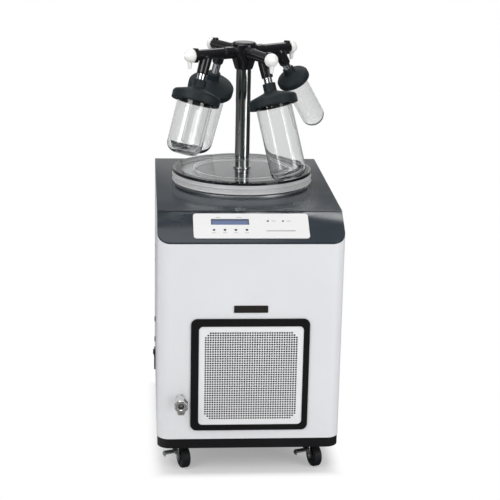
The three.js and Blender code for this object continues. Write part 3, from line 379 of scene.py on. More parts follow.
class Piece:
    """A finished mesh object that rides on a CAD body."""

    def __init__(self, name: str, data: bpy.types.Mesh, material: bpy.types.Material) -> None:
        """Makes the object.

        Args:
            name: The piece's name.
            data: Its mesh, in place.
            material: Its finish.
        """
        self.object = bpy.data.objects.new(name, data)
        bpy.context.scene.collection.objects.link(self.object)
        data.materials.clear()
        data.materials.append(material)

    @classmethod
    def of(cls, name: str, surface: Surface, material: bpy.types.Material) -> "Piece":
        """A piece from a surface."""
        return cls(name, surface.mesh(name), material)

    @classmethod
    def refined(cls, node: str, material: bpy.types.Material, bevel: float) -> "Piece":
        """A copy of a CAD node with its flat faces whole and its edges broken.

        Args:
            node: The CAD node.
            material: Its finish.
            bevel: Width of the broken edges.

        Returns:
            The piece, which replaces the node.
        """
        data = frame["nodes"][node].data.copy()
        work = bmesh.new()
        work.from_mesh(data)
        bmesh.ops.remove_doubles(work, verts=work.verts, dist=2e-6)
        bmesh.ops.dissolve_limit(work, angle_limit=math.radians(0.5), verts=work.verts, edges=work.edges)
        work.to_mesh(data)
        work.free()
        made = cls(node + "_skin", data, material)
        made.shaded(40.0)
        if bevel > 0:
            made.bevelled(bevel).modifier("WEIGHTED_NORMAL", keep_sharp=False)
        return made.riding(node)

    def modifier(self, kind: str, **settings: object) -> "Piece":
        """Adds a modifier.

        Args:
            kind: The modifier's type.
            settings: Its settings.

        Returns:
            The piece.
        """
        added = self.object.modifiers.new(kind.lower(), kind)
        for key, value in settings.items():
            setattr(added, key, value)
        return self

    def bevelled(self, width: float) -> "Piece":
        """Rounds the edges that are sharper than 35 degrees."""
        return self.modifier("BEVEL", width=width, segments=2, limit_method="ANGLE",
                             angle_limit=math.radians(35.0), harden_normals=False, use_clamp_overlap=True)

    def thickened(self, thickness: float) -> "Piece":
        """Gives a sheet its thickness, behind its face."""
        return self.modifier("SOLIDIFY", thickness=thickness, offset=-1.0, use_even_offset=True)

    def shaded(self, angle: float) -> "Piece":
        """Shades the piece smooth, apart from its sharp edges.

        Args:
            angle: The angle in degrees past which an edge stays sharp.

        Returns:
            The piece.
        """
        data = self.object.data
        data.shade_smooth()
        data.set_sharp_from_angle(angle=math.radians(angle))
        return self

    def smooth(self, angle: float = 40.0) -> "Piece":
        """Shades the piece as shaded does, and keeps its large faces flat."""
        return self.shaded(angle).modifier("WEIGHTED_NORMAL", keep_sharp=True)

    def partly(self, material: bpy.types.Material, axis: Points, radius: float, top: float) -> "Piece":
        """Gives the faces beyond a radius from an upright axis and below a height another finish.

        Args:
            material: The other finish.
            axis: A point of the upright axis.
            radius: How far from the axis it starts.
            top: The height at which it ends.

        Returns:
            The piece.
        """
        data = self.object.data
        data.materials.append(material)
        middles = np.empty(len(data.polygons) * 3)
        data.polygons.foreach_get("center", middles)
        middles = middles.reshape(-1, 3)
        outer = (np.linalg.norm(middles[:, :2] - axis[:2], axis=1) > radius) & (middles[:, 2] < top)
        data.polygons.foreach_set("material_index", outer.astype(np.int32))
        return self

    def applied(self) -> "Piece":
        """Bakes the modifiers into the mesh.

        Returns:
            The piece.
        """
        graph = bpy.context.evaluated_depsgraph_get()
        made = bpy.data.meshes.new_from_object(self.object.evaluated_get(graph))
        made.name = self.object.name
        self.object.modifiers.clear()
        self.object.data = made
        return self

    def fused(self, voxel: float, relax: int) -> "Piece":
        """Melts overlapping closed shells into one moulded skin with soft inner corners.

        Args:
            voxel: Size of the skin's facets.
            relax: Passes that even out the skin.

        Returns:
            The piece, with its skin in place of the shells.
        """
        material = self.object.data.materials[0]
        self.modifier("REMESH", mode="VOXEL", voxel_size=voxel, use_smooth_shade=True)
        self.modifier("SMOOTH", factor=0.5, iterations=relax)
        self.applied()
        self.object.data.materials.clear()
        self.object.data.materials.append(material)
        self.object.data.shade_smooth()
        return self

    def riding(self, node: str, slot: Optional[str] = None) -> "Piece":
        """Ties the piece to the body of a CAD node.

        Args:
            node: The CAD node, which the piece replaces unless it has a slot.
            slot: The record's material slot of a piece that comes beside the node; only whether one is given
                is read.

        Returns:
            The piece.
        """
        body = frame["nodes"][node]["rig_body"]
        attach(self.object, body)
        if slot:
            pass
        else:
            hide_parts(node)
        LOG.info("%s rides on %s, %s %s", self.object.name, body, "beside" if slot else "for", node)
        return self


# ---------------------------------------------------------------- node trees

Socket = bpy.types.NodeSocket
Feed = float | Colour | tuple[float, ...] | Socket


def paint(red: int, green: int, blue: int) -> Colour:
    """A colour as the linear values that a socket takes.

    Args:
        red: Red as a display value from 0 to 255.
        green: Green likewise.
        blue: Blue likewise.

    Returns:
        The three linear values.
    """
    values = np.array([red, green, blue]) / 255
    linear = np.where(values <= 0.04045, values / 12.92, ((values + 0.055) / 1.055) ** 2.4)
    return float(linear[0]), float(linear[1]), float(linear[2])


@dataclass
class Wiring:
    """Adds nodes to a node tree and feeds their sockets."""

    tree: bpy.types.NodeTree

    def node(self, kind: str, feeds: Optional[dict[str | int, Feed]] = None,
             **settings: object) -> bpy.types.Node:
        """Adds a node.

        Args:
            kind: The node's type.
            feeds: A number, a colour or another node's output for each input, by name or place.
            settings: The node's own settings.

        Returns:
            The node.
        """
        made = self.tree.nodes.new(kind)
        for key, value in settings.items():
            setattr(made, key, value)
        for key, value in (feeds or {}).items():
            self.feed(made.inputs[key], value)
        return made

    def feed(self, socket: Socket, value: Feed) -> None:
        """Links a socket, or sets its value.

        Args:
            socket: The input.
            value: Another node's output, or a number, a vector or a colour.
        """
        if isinstance(value, bpy.types.NodeSocket):
            self.tree.links.new(value, socket)
        elif socket.type == "RGBA" and len(value) == 3:
            socket.default_value = (*value, 1.0)
        else:
            socket.default_value = value

    def maths(self, operation: str, *values: Feed, clamp: bool = False) -> Socket:
        """The result of a sum on up to three values."""
        made = self.node("ShaderNodeMath", dict(enumerate(values)), operation=operation, use_clamp=clamp)
        return made.outputs[0]

    def span(self, value: Feed, low: float, high: float, to_low: float, to_high: float,
             soft: bool = False) -> Socket:
        """A value carried from one range to another, and held inside it.

        Args:
            value: The value.
            low: Where the first range starts.
            high: Where it ends.
            to_low: What its start becomes.
            to_high: What its end becomes.
            soft: Whether the change eases in and out.

        Returns:
            The new value.
        """
        made = self.node("ShaderNodeMapRange", {0: value, 1: low, 2: high, 3: to_low, 4: to_high},
                         clamp=True)
        if soft:
            made.interpolation_type = "SMOOTHSTEP"
        return made.outputs[0]

    def blend(self, factor: Feed, first: Feed, second: Feed) -> Socket:
        """A colour between two others.

        Args:
            factor: How far it lies towards the second, from 0 to 1.
            first: The first colour.
            second: The second colour.

        Returns:
            The colour.
        """
        made = self.node("ShaderNodeMix", data_type="RGBA", clamp_factor=True)
        for place, value in ((0, factor), (6, first), (7, second)):
            self.feed(made.inputs[place], value)
        return made.outputs[2]

    def noise(self, vector: Feed, scale: Feed, detail: float = 2.0, roughness: float = 0.5) -> Socket:
        """Noise from 0 to 1 at so many waves to the metre."""
        feeds = {"Vector": vector, "Scale": scale, "Detail": detail, "Roughness": roughness}
        return self.node("ShaderNodeTexNoise", feeds).outputs[0]

    def stretched(self, vector: Feed, scale: tuple[float, float, float]) -> Socket:
        """Coordinates drawn out along the axes."""
        return self.node("ShaderNodeMapping", {"Vector": vector, "Scale": scale}).outputs[0]

    def switched(self, kind: Socket, other: Feed, value: Feed) -> Socket:
        """One number for a kind of ray, and another for the rest.

        Args:
            kind: The light path's output for that kind.
            other: The number for the rest.
            value: The number for that kind.

        Returns:
            The number.
        """
        made = self.node("ShaderNodeMix", data_type="FLOAT")
        for place, feed in ((0, kind), (2, other), (3, value)):
            self.feed(made.inputs[place], feed)
        return made.outputs[0]

    def grey(self, value: Socket) -> Socket:
        """A grey of a given brightness."""
        return self.node("ShaderNodeCombineXYZ", {0: value, 1: value, 2: value}).outputs[0]

    def group(self, source: bpy.types.NodeTree, feeds: dict[str | int, Feed]) -> bpy.types.Node:
        """Places a shared effect.

        Args:
            source: The effect's node group.
            feeds: A number or another node's output for each of its inputs.

        Returns:
            The group's node.
        """
        made = self.tree.nodes.new("ShaderNodeGroup")
        made.node_tree = source
        for key, value in feeds.items():
            self.feed(made.inputs[key], value)
        return made


class Effect(Enum):
    """The effects that several finishes share, each a node group."""

    GRAIN = "surface grain"
    HANDLING = "handling marks"
    STREAKS = "drawn streaks"
    DUST = "settled dust"


class Effects:
    """Builds each shared effect once."""

    made: dict[Effect, bpy.types.NodeTree] = {}

    @classmethod
    def get(cls, effect: Effect) -> bpy.types.NodeTree:
        """The node group of an effect, made when it is first asked for.

        Args:
            effect: The effect.

        Returns:
            Its node group.
        """
        if effect not in cls.made:
            builders = {Effect.GRAIN: cls.grain, Effect.HANDLING: cls.handling,
                        Effect.STREAKS: cls.streaks, Effect.DUST: cls.dust}
            cls.made[effect] = builders[effect]()
        return cls.made[effect]

    @staticmethod
    def empty(effect: Effect, given: str, default: float,
              outputs: Sequence[str]) -> tuple[Wiring, bpy.types.Node, bpy.types.Node]:
        """A group that has only its sockets.

        Args:
            effect: The effect, which names the group.
            given: The name of the number that it takes beside the coordinates.
            default: What that number is unless it is fed.
            outputs: The name of each value that the group puts out.

        Returns:
            The group's wiring, its input node and its output node.
        """
        tree = bpy.data.node_groups.new(effect.value, "ShaderNodeTree")
        tree.interface.new_socket("Vector", in_out="INPUT", socket_type="NodeSocketVector")
        number = tree.interface.new_socket(given, in_out="INPUT", socket_type="NodeSocketFloat")
        number.default_value = default
        for name in outputs:
            tree.interface.new_socket(name, in_out="OUTPUT", socket_type="NodeSocketFloat")
        return Wiring(tree), tree.nodes.new("NodeGroupInput"), tree.nodes.new("NodeGroupOutput")

    @classmethod
    def grain(cls) -> bpy.types.NodeTree:
        """Fine lumps of a sprayed or moulded surface: noise at the grain's size plus one 4 times as large.

        Returns:
            The group's node tree.
        """
        wiring, source, out = cls.empty(Effect.GRAIN, "Scale", 1200.0, ["Height", "Mask"])
        vector, scale = source.outputs[0], source.outputs[1]
        fine = wiring.noise(vector, scale, 2.0)
        broad = wiring.noise(vector, wiring.maths("MULTIPLY", scale, 0.25), 1.0)
        height = wiring.maths("ADD", wiring.maths("MULTIPLY", fine, 0.6),
                              wiring.maths("MULTIPLY", broad, 0.4))
        wiring.feed(out.inputs[0], height)
        wiring.feed(out.inputs[1], wiring.span(height, 0.35, 0.65, 0.0, 1.0))
        return wiring.tree

    @classmethod
    def handling(cls) -> bpy.types.NodeTree:
        """Smudges and faint rubs: broad noise, broken up by a finer noise, and thin scratches across it.

        Returns:
            The group's node tree.
        """
        wiring, source, out = cls.empty(Effect.HANDLING, "Scale", 18.0, ["Smudge", "Scratch"])
        vector, scale = source.outputs[0], source.outputs[1]
        broad = wiring.noise(vector, scale, 4.0, 0.6)
        fine = wiring.noise(vector, wiring.maths("MULTIPLY", scale, 9.0), 3.0)
        smudge = wiring.maths("MULTIPLY", wiring.span(broad, 0.42, 0.72, 0.0, 1.0, soft=True),
                              wiring.span(fine, 0.2, 0.8, 0.6, 1.0))
        bent = wiring.node("ShaderNodeMapping", {"Vector": vector, "Rotation": (0.5, 0.9, 0.35),
                                                 "Scale": (26.0, 700.0, 260.0)}).outputs[0]
        lines = wiring.noise(bent, 1.0, 1.0)
        scratch = wiring.maths("MULTIPLY", wiring.span(lines, 0.69, 0.76, 0.0, 1.0),
                               wiring.span(broad, 0.45, 0.62, 0.0, 1.0))
        wiring.feed(out.inputs[0], smudge)
        wiring.feed(out.inputs[1], scratch)
        return wiring.tree

    @classmethod
    def streaks(cls) -> bpy.types.NodeTree:
        """Lines of drawn, ground or brushed metal: noise read in coordinates drawn out along the stroke.

        Returns:
            The group's node tree.
        """
        wiring, source, out = cls.empty(Effect.STREAKS, "Scale", 1.0, ["Height", "Tone"])
        vector, scale = source.outputs[0], source.outputs[1]
        line = wiring.noise(vector, scale, 4.0, 0.65)
        broad = wiring.noise(vector, wiring.maths("MULTIPLY", scale, 0.17), 2.0)
        wiring.feed(out.inputs[0], line)
        wiring.feed(out.inputs[1], wiring.maths("ADD", wiring.maths("MULTIPLY", line, 0.5),
                                                wiring.maths("MULTIPLY", broad, 0.5)))
        return wiring.tree

    @classmethod
    def dust(cls) -> bpy.types.NodeTree:
        """Dust that lies on what faces up: the normal's rise, times a patchy noise and a speckle.

        Returns:
            The group's node tree.
        """
        wiring, source, out = cls.empty(Effect.DUST, "Amount", 0.1, ["Mask"])
        vector, amount = source.outputs[0], source.outputs[1]
        normal = wiring.node("ShaderNodeNewGeometry").outputs["Normal"]
        rise = wiring.node("ShaderNodeSeparateXYZ", {0: normal}).outputs[2]
        patch = wiring.noise(vector, 14.0, 3.0)
        speck = wiring.noise(vector, 2600.0, 1.0)
        mask = wiring.maths("MULTIPLY", wiring.span(rise, 0.2, 1.0, 0.0, 1.0, soft=True),
                            wiring.span(patch, 0.3, 0.7, 0.25, 1.0))
        mask = wiring.maths("MULTIPLY", mask, wiring.span(speck, 0.35, 0.75, 0.5, 1.0))
        wiring.feed(out.inputs[0], wiring.maths("MULTIPLY", mask, amount))
        return wiring.tree


# ---------------------------------------------------------------- finishes

BRIGHTEST = 0.95
DUST_COLOUR = paint(196, 192, 184)
SCRATCHED_METAL = (0.9, 0.9, 0.9)


class Stroke(Enum):
    """Which way a metal's lines run: how much coordinates are drawn out along X, Y and Z."""

    UPRIGHT = (1500.0, 1500.0, 14.0)
    LEVEL = (14.0, 1500.0, 1500.0)
    CAST = (420.0, 420.0, 420.0)


@dataclass(frozen=True)
class Finish:
    """A finish: its name, its colour, its gloss, and the parts of its node tree that all finishes share."""

    name: str
    colour: Colour
    roughness: float

    def tree(self) -> tuple[bpy.types.Material, Wiring, bpy.types.Node, Socket]:
        """Starts the finish's material.

        Returns:
            The material, its wiring, its shader and its object coordinates.
        """
        material = bpy.data.materials.new(self.name)
        material.use_nodes = True
        wiring = Wiring(material.node_tree)
        shader = material.node_tree.nodes["Principled BSDF"]
        place = wiring.node("ShaderNodeTexCoord").outputs["Object"]
        wiring.feed(shader.inputs["Base Color"], self.colour)
        wiring.feed(shader.inputs["Roughness"], self.roughness)
        return material, wiring, shader, place

    def shade(self, share: float) -> Colour:
        """The finish's colour times a share, and never quite white."""
        return tuple(min(value * share, BRIGHTEST) for value in self.colour)

    def build(self) -> bpy.types.Material:
        """Makes the material.

        Returns:
            The material.
        """
        raise NotImplementedError

    @staticmethod
    def bump(wiring: Wiring, shader: bpy.types.Node, height: Socket, depth: float) -> None:
        """Raises the surface by a height from 0 to 1, times a depth in metres."""
        bump = wiring.node("ShaderNodeBump", {"Height": height, "Distance": depth, "Strength": 1.0})
        wiring.feed(shader.inputs["Normal"], bump.outputs[0])


@dataclass(frozen=True)
class Coating(Finish):
    """Powder coat, enamel, plastic or rubber: a grained skin with smudges, and dust on what faces up.

    The grain is in waves to the metre, and the marks too. Smudges and dust dull the skin by so much.
    """

    grain: float = 900.0
    marks: float = 9.0
    smudge_dulling: float = 0.12
    dust_dulling: float = 0.5
    depth: float = 0.03 * MM
    tone: float = 0.04
    dust: float = 0.04
    specular: float = 0.5
    coat: float = 0.0
    wear: float = 0.0
    worn: Colour = (0.5, 0.5, 0.5)

    def build(self) -> bpy.types.Material:
        """Makes the material.

        Returns:
            The material.
        """
        material, wiring, shader, place = self.tree()
        grain = wiring.group(Effects.get(Effect.GRAIN), {"Vector": place, "Scale": self.grain})
        marks = wiring.group(Effects.get(Effect.HANDLING), {"Vector": place, "Scale": self.marks})
        dust = wiring.group(Effects.get(Effect.DUST), {"Vector": place, "Amount": self.dust})
        drift = wiring.span(wiring.noise(place, 5.0, 3.0), 0.3, 0.7, 0.0, 1.0)
        colour = wiring.blend(drift, self.shade(1.0 - self.tone), self.shade(1.0 + self.tone))
        colour = wiring.blend(wiring.maths("MULTIPLY", grain.outputs["Mask"], self.tone), colour,
                              self.shade(0.7))
        if self.wear > 0:
            scratch = wiring.maths("MULTIPLY", marks.outputs["Scratch"], self.wear)
            colour = wiring.blend(scratch, colour, self.worn)
        colour = wiring.blend(dust.outputs["Mask"], colour, DUST_COLOUR)
        rough = wiring.maths("ADD", wiring.span(marks.outputs["Smudge"], 0.0, 1.0, 0.0, self.smudge_dulling),
                             self.roughness)
        dulled = wiring.maths("MULTIPLY", dust.outputs["Mask"], self.dust_dulling)
        rough = wiring.maths("ADD", rough, dulled, clamp=True)
        wiring.feed(shader.inputs["Base Color"], colour)
        wiring.feed(shader.inputs["Roughness"], rough)
        wiring.feed(shader.inputs["Specular IOR Level"], self.specular)
        wiring.feed(shader.inputs["Coat Weight"], self.coat)
        wiring.feed(shader.inputs["Coat Roughness"], 0.12)
        self.bump(wiring, shader, grain.outputs["Height"], self.depth)
        return material


@dataclass(frozen=True)
class Metal(Finish):
    """Bare metal: drawn or cast lines, smudges that dull it, and fine scratches."""

    stroke: Stroke = Stroke.UPRIGHT
    marks: float = 26.0
    scratches: float = 0.25
    depth: float = 0.01 * MM
    tone: float = 0.12
    dulling: float = 0.1
    metallic: float = 1.0

    def build(self) -> bpy.types.Material:
        """Makes the material.

        Returns:
            The material.
        """
        material, wiring, shader, place = self.tree()
        lines = wiring.group(Effects.get(Effect.STREAKS),
                             {"Vector": wiring.stretched(place, self.stroke.value), "Scale": 1.0})
        marks = wiring.group(Effects.get(Effect.HANDLING), {"Vector": place, "Scale": self.marks})
        tone = wiring.span(lines.outputs["Tone"], 0.3, 0.7, 0.0, 1.0)
        colour = wiring.blend(tone, self.shade(1.0 - self.tone), self.colour)
        scratch = wiring.maths("MULTIPLY", marks.outputs["Scratch"], self.scratches)
        colour = wiring.blend(scratch, colour, SCRATCHED_METAL)
        rough = wiring.maths("ADD", wiring.span(lines.outputs["Height"], 0.3, 0.7, 0.0, self.dulling),
                             self.roughness)
        rough = wiring.maths("ADD", rough, wiring.maths("MULTIPLY", marks.outputs["Smudge"], self.dulling),
                             clamp=True)
        wiring.feed(shader.inputs["Base Color"], colour)
        wiring.feed(shader.inputs["Roughness"], rough)
        wiring.feed(shader.inputs["Metallic"], self.metallic)
        self.bump(wiring, shader, lines.outputs["Height"], self.depth)
        return material


@dataclass(frozen=True)
class Clear(Finish):
    """Glass or acrylic: clear, with faint haze, smudges and a slightly wavy skin."""

    ior: float = 1.47
    marks: float = 14.0
    wave: float = 0.02 * MM
    haze: float = 0.06
    clear: float = 1.0

    def build(self) -> bpy.types.Material:
        """Makes the material.

        Returns:
            The material.
        """
        material, wiring, shader, place = self.tree()
        marks = wiring.group(Effects.get(Effect.HANDLING), {"Vector": place, "Scale": self.marks})
        smudge = wiring.maths("MULTIPLY", marks.outputs["Smudge"], 0.25)
        tint = wiring.blend(smudge, self.colour, self.shade(0.95))
        rough = wiring.maths("ADD", wiring.maths("MULTIPLY", marks.outputs["Smudge"], self.haze),
                             self.roughness)
        wiring.feed(shader.inputs["Base Color"], tint)
        wiring.feed(shader.inputs["Roughness"], rough)
        wiring.feed(shader.inputs["IOR"], self.ior)
        wiring.feed(shader.inputs["Transmission Weight"], self.clear)
        self.bump(wiring, shader, wiring.noise(place, 22.0, 1.0), self.wave)
        return material


@dataclass(frozen=True)
class Display(Finish):
    """Backlit liquid crystal behind a window: a field that darkens towards its rim, with a faint grid.

    The grid is in radians to the metre.
    """

    centre: tuple[float, float, float] = (0.0, 0.0, 0.0)
    half_width: float = 0.04
    half_height: float = 0.01
    rim: Colour = (0.1, 0.1, 0.2)
    glow: float = 0.1
    grid: float = 9000.0

    def build(self) -> bpy.types.Material:
        """Makes the material.

        Returns:
            The material.
        """
        material, wiring, shader, place = self.tree()
        moved = wiring.node("ShaderNodeVectorMath", {0: place, 1: self.centre}, operation="SUBTRACT")
        axes = wiring.node("ShaderNodeSeparateXYZ", {0: moved.outputs[0]})
        across = wiring.maths("DIVIDE", wiring.maths("ABSOLUTE", axes.outputs[0]), self.half_width)
        upward = wiring.maths("DIVIDE", axes.outputs[2], self.half_height)
        edge = wiring.maths("MAXIMUM", wiring.span(across, 0.9, 1.0, 0.0, 1.0, soft=True),
                            wiring.span(upward, 0.1, 1.0, 0.0, 1.0, soft=True))
        columns, rows = [wiring.maths("SINE", wiring.maths("MULTIPLY", axes.outputs[axis], self.grid))
                         for axis in (0, 2)]
        waves = wiring.maths("MULTIPLY", columns, rows)
        colour = wiring.blend(edge, self.colour, self.rim)
        colour = wiring.blend(wiring.span(waves, 0.2, 1.0, 0.0, 0.12), colour, self.shade(0.7))
        wiring.feed(shader.inputs["Base Color"], colour)
        wiring.feed(shader.inputs["Emission Color"], colour)
        shader.inputs["Emission Strength"].default_value = self.glow
        grain = wiring.group(Effects.get(Effect.GRAIN), {"Vector": place, "Scale": 1500.0})
        self.bump(wiring, shader, grain.outputs["Height"], 0.005 * MM)
        return material


class Paints:
    """Every finish of the machine, each made once."""

    def __init__(self) -> None:
        """Makes the materials."""
        self.white_coat = Coating("white_powder_coat", paint(219, 220, 223), 0.36, grain=1100.0,
                                  depth=0.02 * MM, tone=0.02, dust=0.02).build()
        self.sheet_coat = Coating("grille_sheet_white", paint(226, 227, 228), 0.4, grain=1600.0,
                                  depth=0.012 * MM, tone=0.015, dust=0.02).build()
        self.grey_coat = Coating("grey_powder_coat", paint(38, 47, 55), 0.18, grain=1300.0,
                                 depth=0.012 * MM, tone=0.05, dust=0.02).build()
        self.black_coat = Coating("black_powder_coat", paint(22, 22, 24), 0.4, grain=1300.0,
                                  depth=0.03 * MM, tone=0.1, dust=0.02, specular=0.3).build()
        self.grille_coat = Coating("grille_enamel", paint(20, 20, 21), 0.42, grain=1600.0,
                                   depth=0.015 * MM, tone=0.1, dust=0.01, specular=0.3).build()
        self.plate = Coating("nameplate_black", paint(38, 35, 33), 0.3, grain=900.0, depth=0.008 * MM,
                             tone=0.08, dust=0.02, specular=0.4).build()
        self.panel = Coating("panel_white", paint(221, 221, 221), 0.32, grain=2200.0, depth=0.006 * MM,
                             tone=0.01, dust=0.0, specular=0.35).build()
        self.print_grey = Coating("panel_print", paint(138, 141, 146), 0.45, grain=2200.0,
                                  depth=0.004 * MM, tone=0.05, dust=0.0).build()
        self.dark_cap = Coating("button_plastic", paint(66, 66, 72), 0.35, grain=1800.0, depth=0.01 * MM,
                                tone=0.08, dust=0.0, specular=0.3).build()
        self.lamp = Coating("lamp_lens", paint(30, 16, 18), 0.2, grain=600.0, depth=0.002 * MM, tone=0.1,
                            dust=0.0, specular=0.4).build()
        self.knob = Coating("knob_white", paint(236, 236, 234), 0.28, grain=700.0, depth=0.01 * MM,
                            tone=0.02, dust=0.0, coat=0.2).build()
        self.valve = Coating("valve_rubber", paint(24, 24, 27), 0.12, grain=800.0, depth=0.012 * MM,
                             tone=0.15, dust=0.01).build()
        self.cap = Coating("cap_rubber", paint(26, 36, 40), 0.5, grain=900.0, depth=0.03 * MM, tone=0.1,
                           dust=0.01, specular=0.3).build()
        self.gasket = Coating("gasket_rubber", paint(40, 44, 52), 0.5, grain=900.0, depth=0.02 * MM,
                              tone=0.1, dust=0.02).build()
        self.seal = Coating("seal_rubber", paint(44, 46, 50), 0.6, grain=900.0, depth=0.01 * MM, tone=0.1,
                            dust=0.0, specular=0.05).build()
        self.hose = Coating("hose_rubber", paint(196, 190, 178), 0.45, grain=700.0, depth=0.02 * MM).build()
        self.tyre = Coating("tyre_rubber", paint(27, 28, 31), 0.5, grain=700.0, depth=0.05 * MM, tone=0.12,
                            dust=0.05, specular=0.35, wear=0.3, worn=paint(90, 89, 86)).build()
        self.wheel_core = Coating("wheel_core", paint(34, 34, 37), 0.4, grain=700.0, depth=0.02 * MM,
                                  tone=0.1, dust=0.04, specular=0.35).build()
        self.foam = Coating("jacket_foam", paint(216, 204, 168), 0.85, grain=260.0, depth=0.6 * MM,
                            tone=0.12, dust=0.02, specular=0.2).build()
        self.board = Coating("board_green", paint(34, 84, 56), 0.35, grain=1500.0, depth=0.02 * MM,
                             tone=0.15, dust=0.0, coat=0.4).build()
        self.can = Coating("compressor_black", paint(30, 30, 32), 0.35, grain=420.0, depth=0.05 * MM,
                           tone=0.1, dust=0.12, wear=0.3).build()
        self.inlet = Coating("inlet_black", paint(24, 24, 26), 0.38, grain=900.0, depth=0.02 * MM, tone=0.1,
                             dust=0.02, specular=0.35).build()
        self.chamber = Metal("chamber_stainless", paint(219, 221, 224), 0.3, stroke=Stroke.LEVEL,
                             dulling=0.16).build()
        self.pipe = Metal("polished_pipe", paint(206, 211, 210), 0.09, stroke=Stroke.UPRIGHT,
                          depth=0.002 * MM, tone=0.06, dulling=0.04).build()
        self.chrome = Metal("bright_chrome", paint(222, 224, 226), 0.08, stroke=Stroke.CAST,
                            depth=0.003 * MM, tone=0.06, dulling=0.06).build()
        self.satin = Metal("satin_nickel", paint(188, 187, 183), 0.34, stroke=Stroke.CAST, depth=0.01 * MM,
                           tone=0.1, dulling=0.1, metallic=0.6).build()
        self.zinc = Metal("zinc_plate", paint(190, 192, 194), 0.2, stroke=Stroke.CAST, depth=0.02 * MM,
                          tone=0.18, dulling=0.14, metallic=0.85).build()
        self.nickel = Metal("bright_nickel", paint(222, 222, 220), 0.13, stroke=Stroke.CAST,
                            depth=0.004 * MM, tone=0.08, dulling=0.08, metallic=0.82).build()
        self.fins = Coating("condenser_black", paint(24, 24, 26), 0.5, grain=600.0, depth=0.03 * MM,
                            tone=0.15, dust=0.06, specular=0.3).build()
        self.motor = Metal("motor_casting", paint(128, 130, 134), 0.42, stroke=Stroke.CAST,
                           depth=0.05 * MM, tone=0.2).build()
        self.acrylic = Clear("clear_acrylic", (0.95, 0.965, 0.97), 0.0, ior=1.49, wave=0.0,
                             haze=0.0).build()
        self.acrylic_edge = Clear("turned_acrylic", (0.97, 0.975, 0.98), 0.3, ior=1.49, wave=0.0,
                                  haze=0.0, clear=0.44).build()
        self.glass = Clear("clear_glass", (0.975, 0.98, 0.98), 0.0, ior=1.47, wave=0.03 * MM,
                           haze=0.02).build()


# ---------------------------------------------------------------- places in the frame


def cabinet_origin() -> np.ndarray:
    """The middle of the front panel's face, on the floor."""
    low, high = corners("front_panel")
    return np.array([(low[0] + high[0]) / 2, low[1], 0.0])


def matrix_of(*steps: Matrix) -> np.ndarray:
    """The product of turns and moves, as an array.

    Args:
        steps: The turns and moves; the last is applied first.

    Returns:
        A 4 by 4 matrix.
    """
    out = Matrix.Identity(4)
    for step in steps:
        out = out @ step
    return np.array(out)


def moved_to(place: Sequence[float]) -> Matrix:
    """A move without turning."""
    return Matrix.Translation(Vector(place))


def turned_by(degrees: float, axis: str) -> Matrix:
    """A turn about X, Y or Z."""
    return Matrix.Rotation(math.radians(degrees), 4, axis)


# ---------------------------------------------------------------- cabinet


@dataclass
class CabinetShell:
    """Base tray, four panels and the sloping top cover, with their folded edges rounded.

    The fittings' places are in millimetres from the front and from the floor.
    """

    paints: Paints
    edge: float = 0.9 * MM
    fuse_caps: tuple[tuple[float, float], ...] = ((380, 190), (380, 241))
    screws: tuple[tuple[float, float], ...] = ((380, 391), (380, 427))

    def build(self) -> None:
        """Makes the shell."""
        for node in ("front_panel", "left_side_panel", "right_side_panel", "rear_panel"):
            Piece.refined(node, self.paints.white_coat, self.edge)
        Piece.refined("top_cover", self.paints.grey_coat, self.edge)
        Piece.refined("base_tray", self.paints.black_coat, self.edge)
        self.fittings("fuse_caps", self.fuse_caps, 6.5, 2.6, self.paints.inlet, "black_plastic")
        self.fittings("side_screws", self.screws, 3.6, 1.8, self.paints.satin, "bright_metal")

    def fittings(self, name: str, places: Sequence[tuple[float, float]], radius: float, height: float,
                 material: bpy.types.Material, slot: str) -> None:
        """Adds round heads with a shallow recess to the left side panel.

        Args:
            name: The piece's name.
            places: Where each head is.
            radius: The heads' radius in millimetres.
            height: How far they stand out, in millimetres.
            material: Their finish.
            slot: The record's slot for it.
        """
        head = revolved(rounded([(0, 0), (radius, 0), (radius, height, height * 0.6),
                                 (radius * 0.45, height, 0.2), (radius * 0.4, height - 0.5),
                                 (0, height - 0.5)]), False, 40)
        side = corners("left_side_panel")[0][0]
        front = cabinet_origin()[1]
        made = [head.placed(matrix_of(moved_to((side, front + y * MM, z * MM)), turned_by(-90, "Y")))
                for y, z in places]
        piece = Piece.of(name, made[0].joined(*made[1:]), material).smooth()
        piece.riding("left_side_panel", slot=slot)


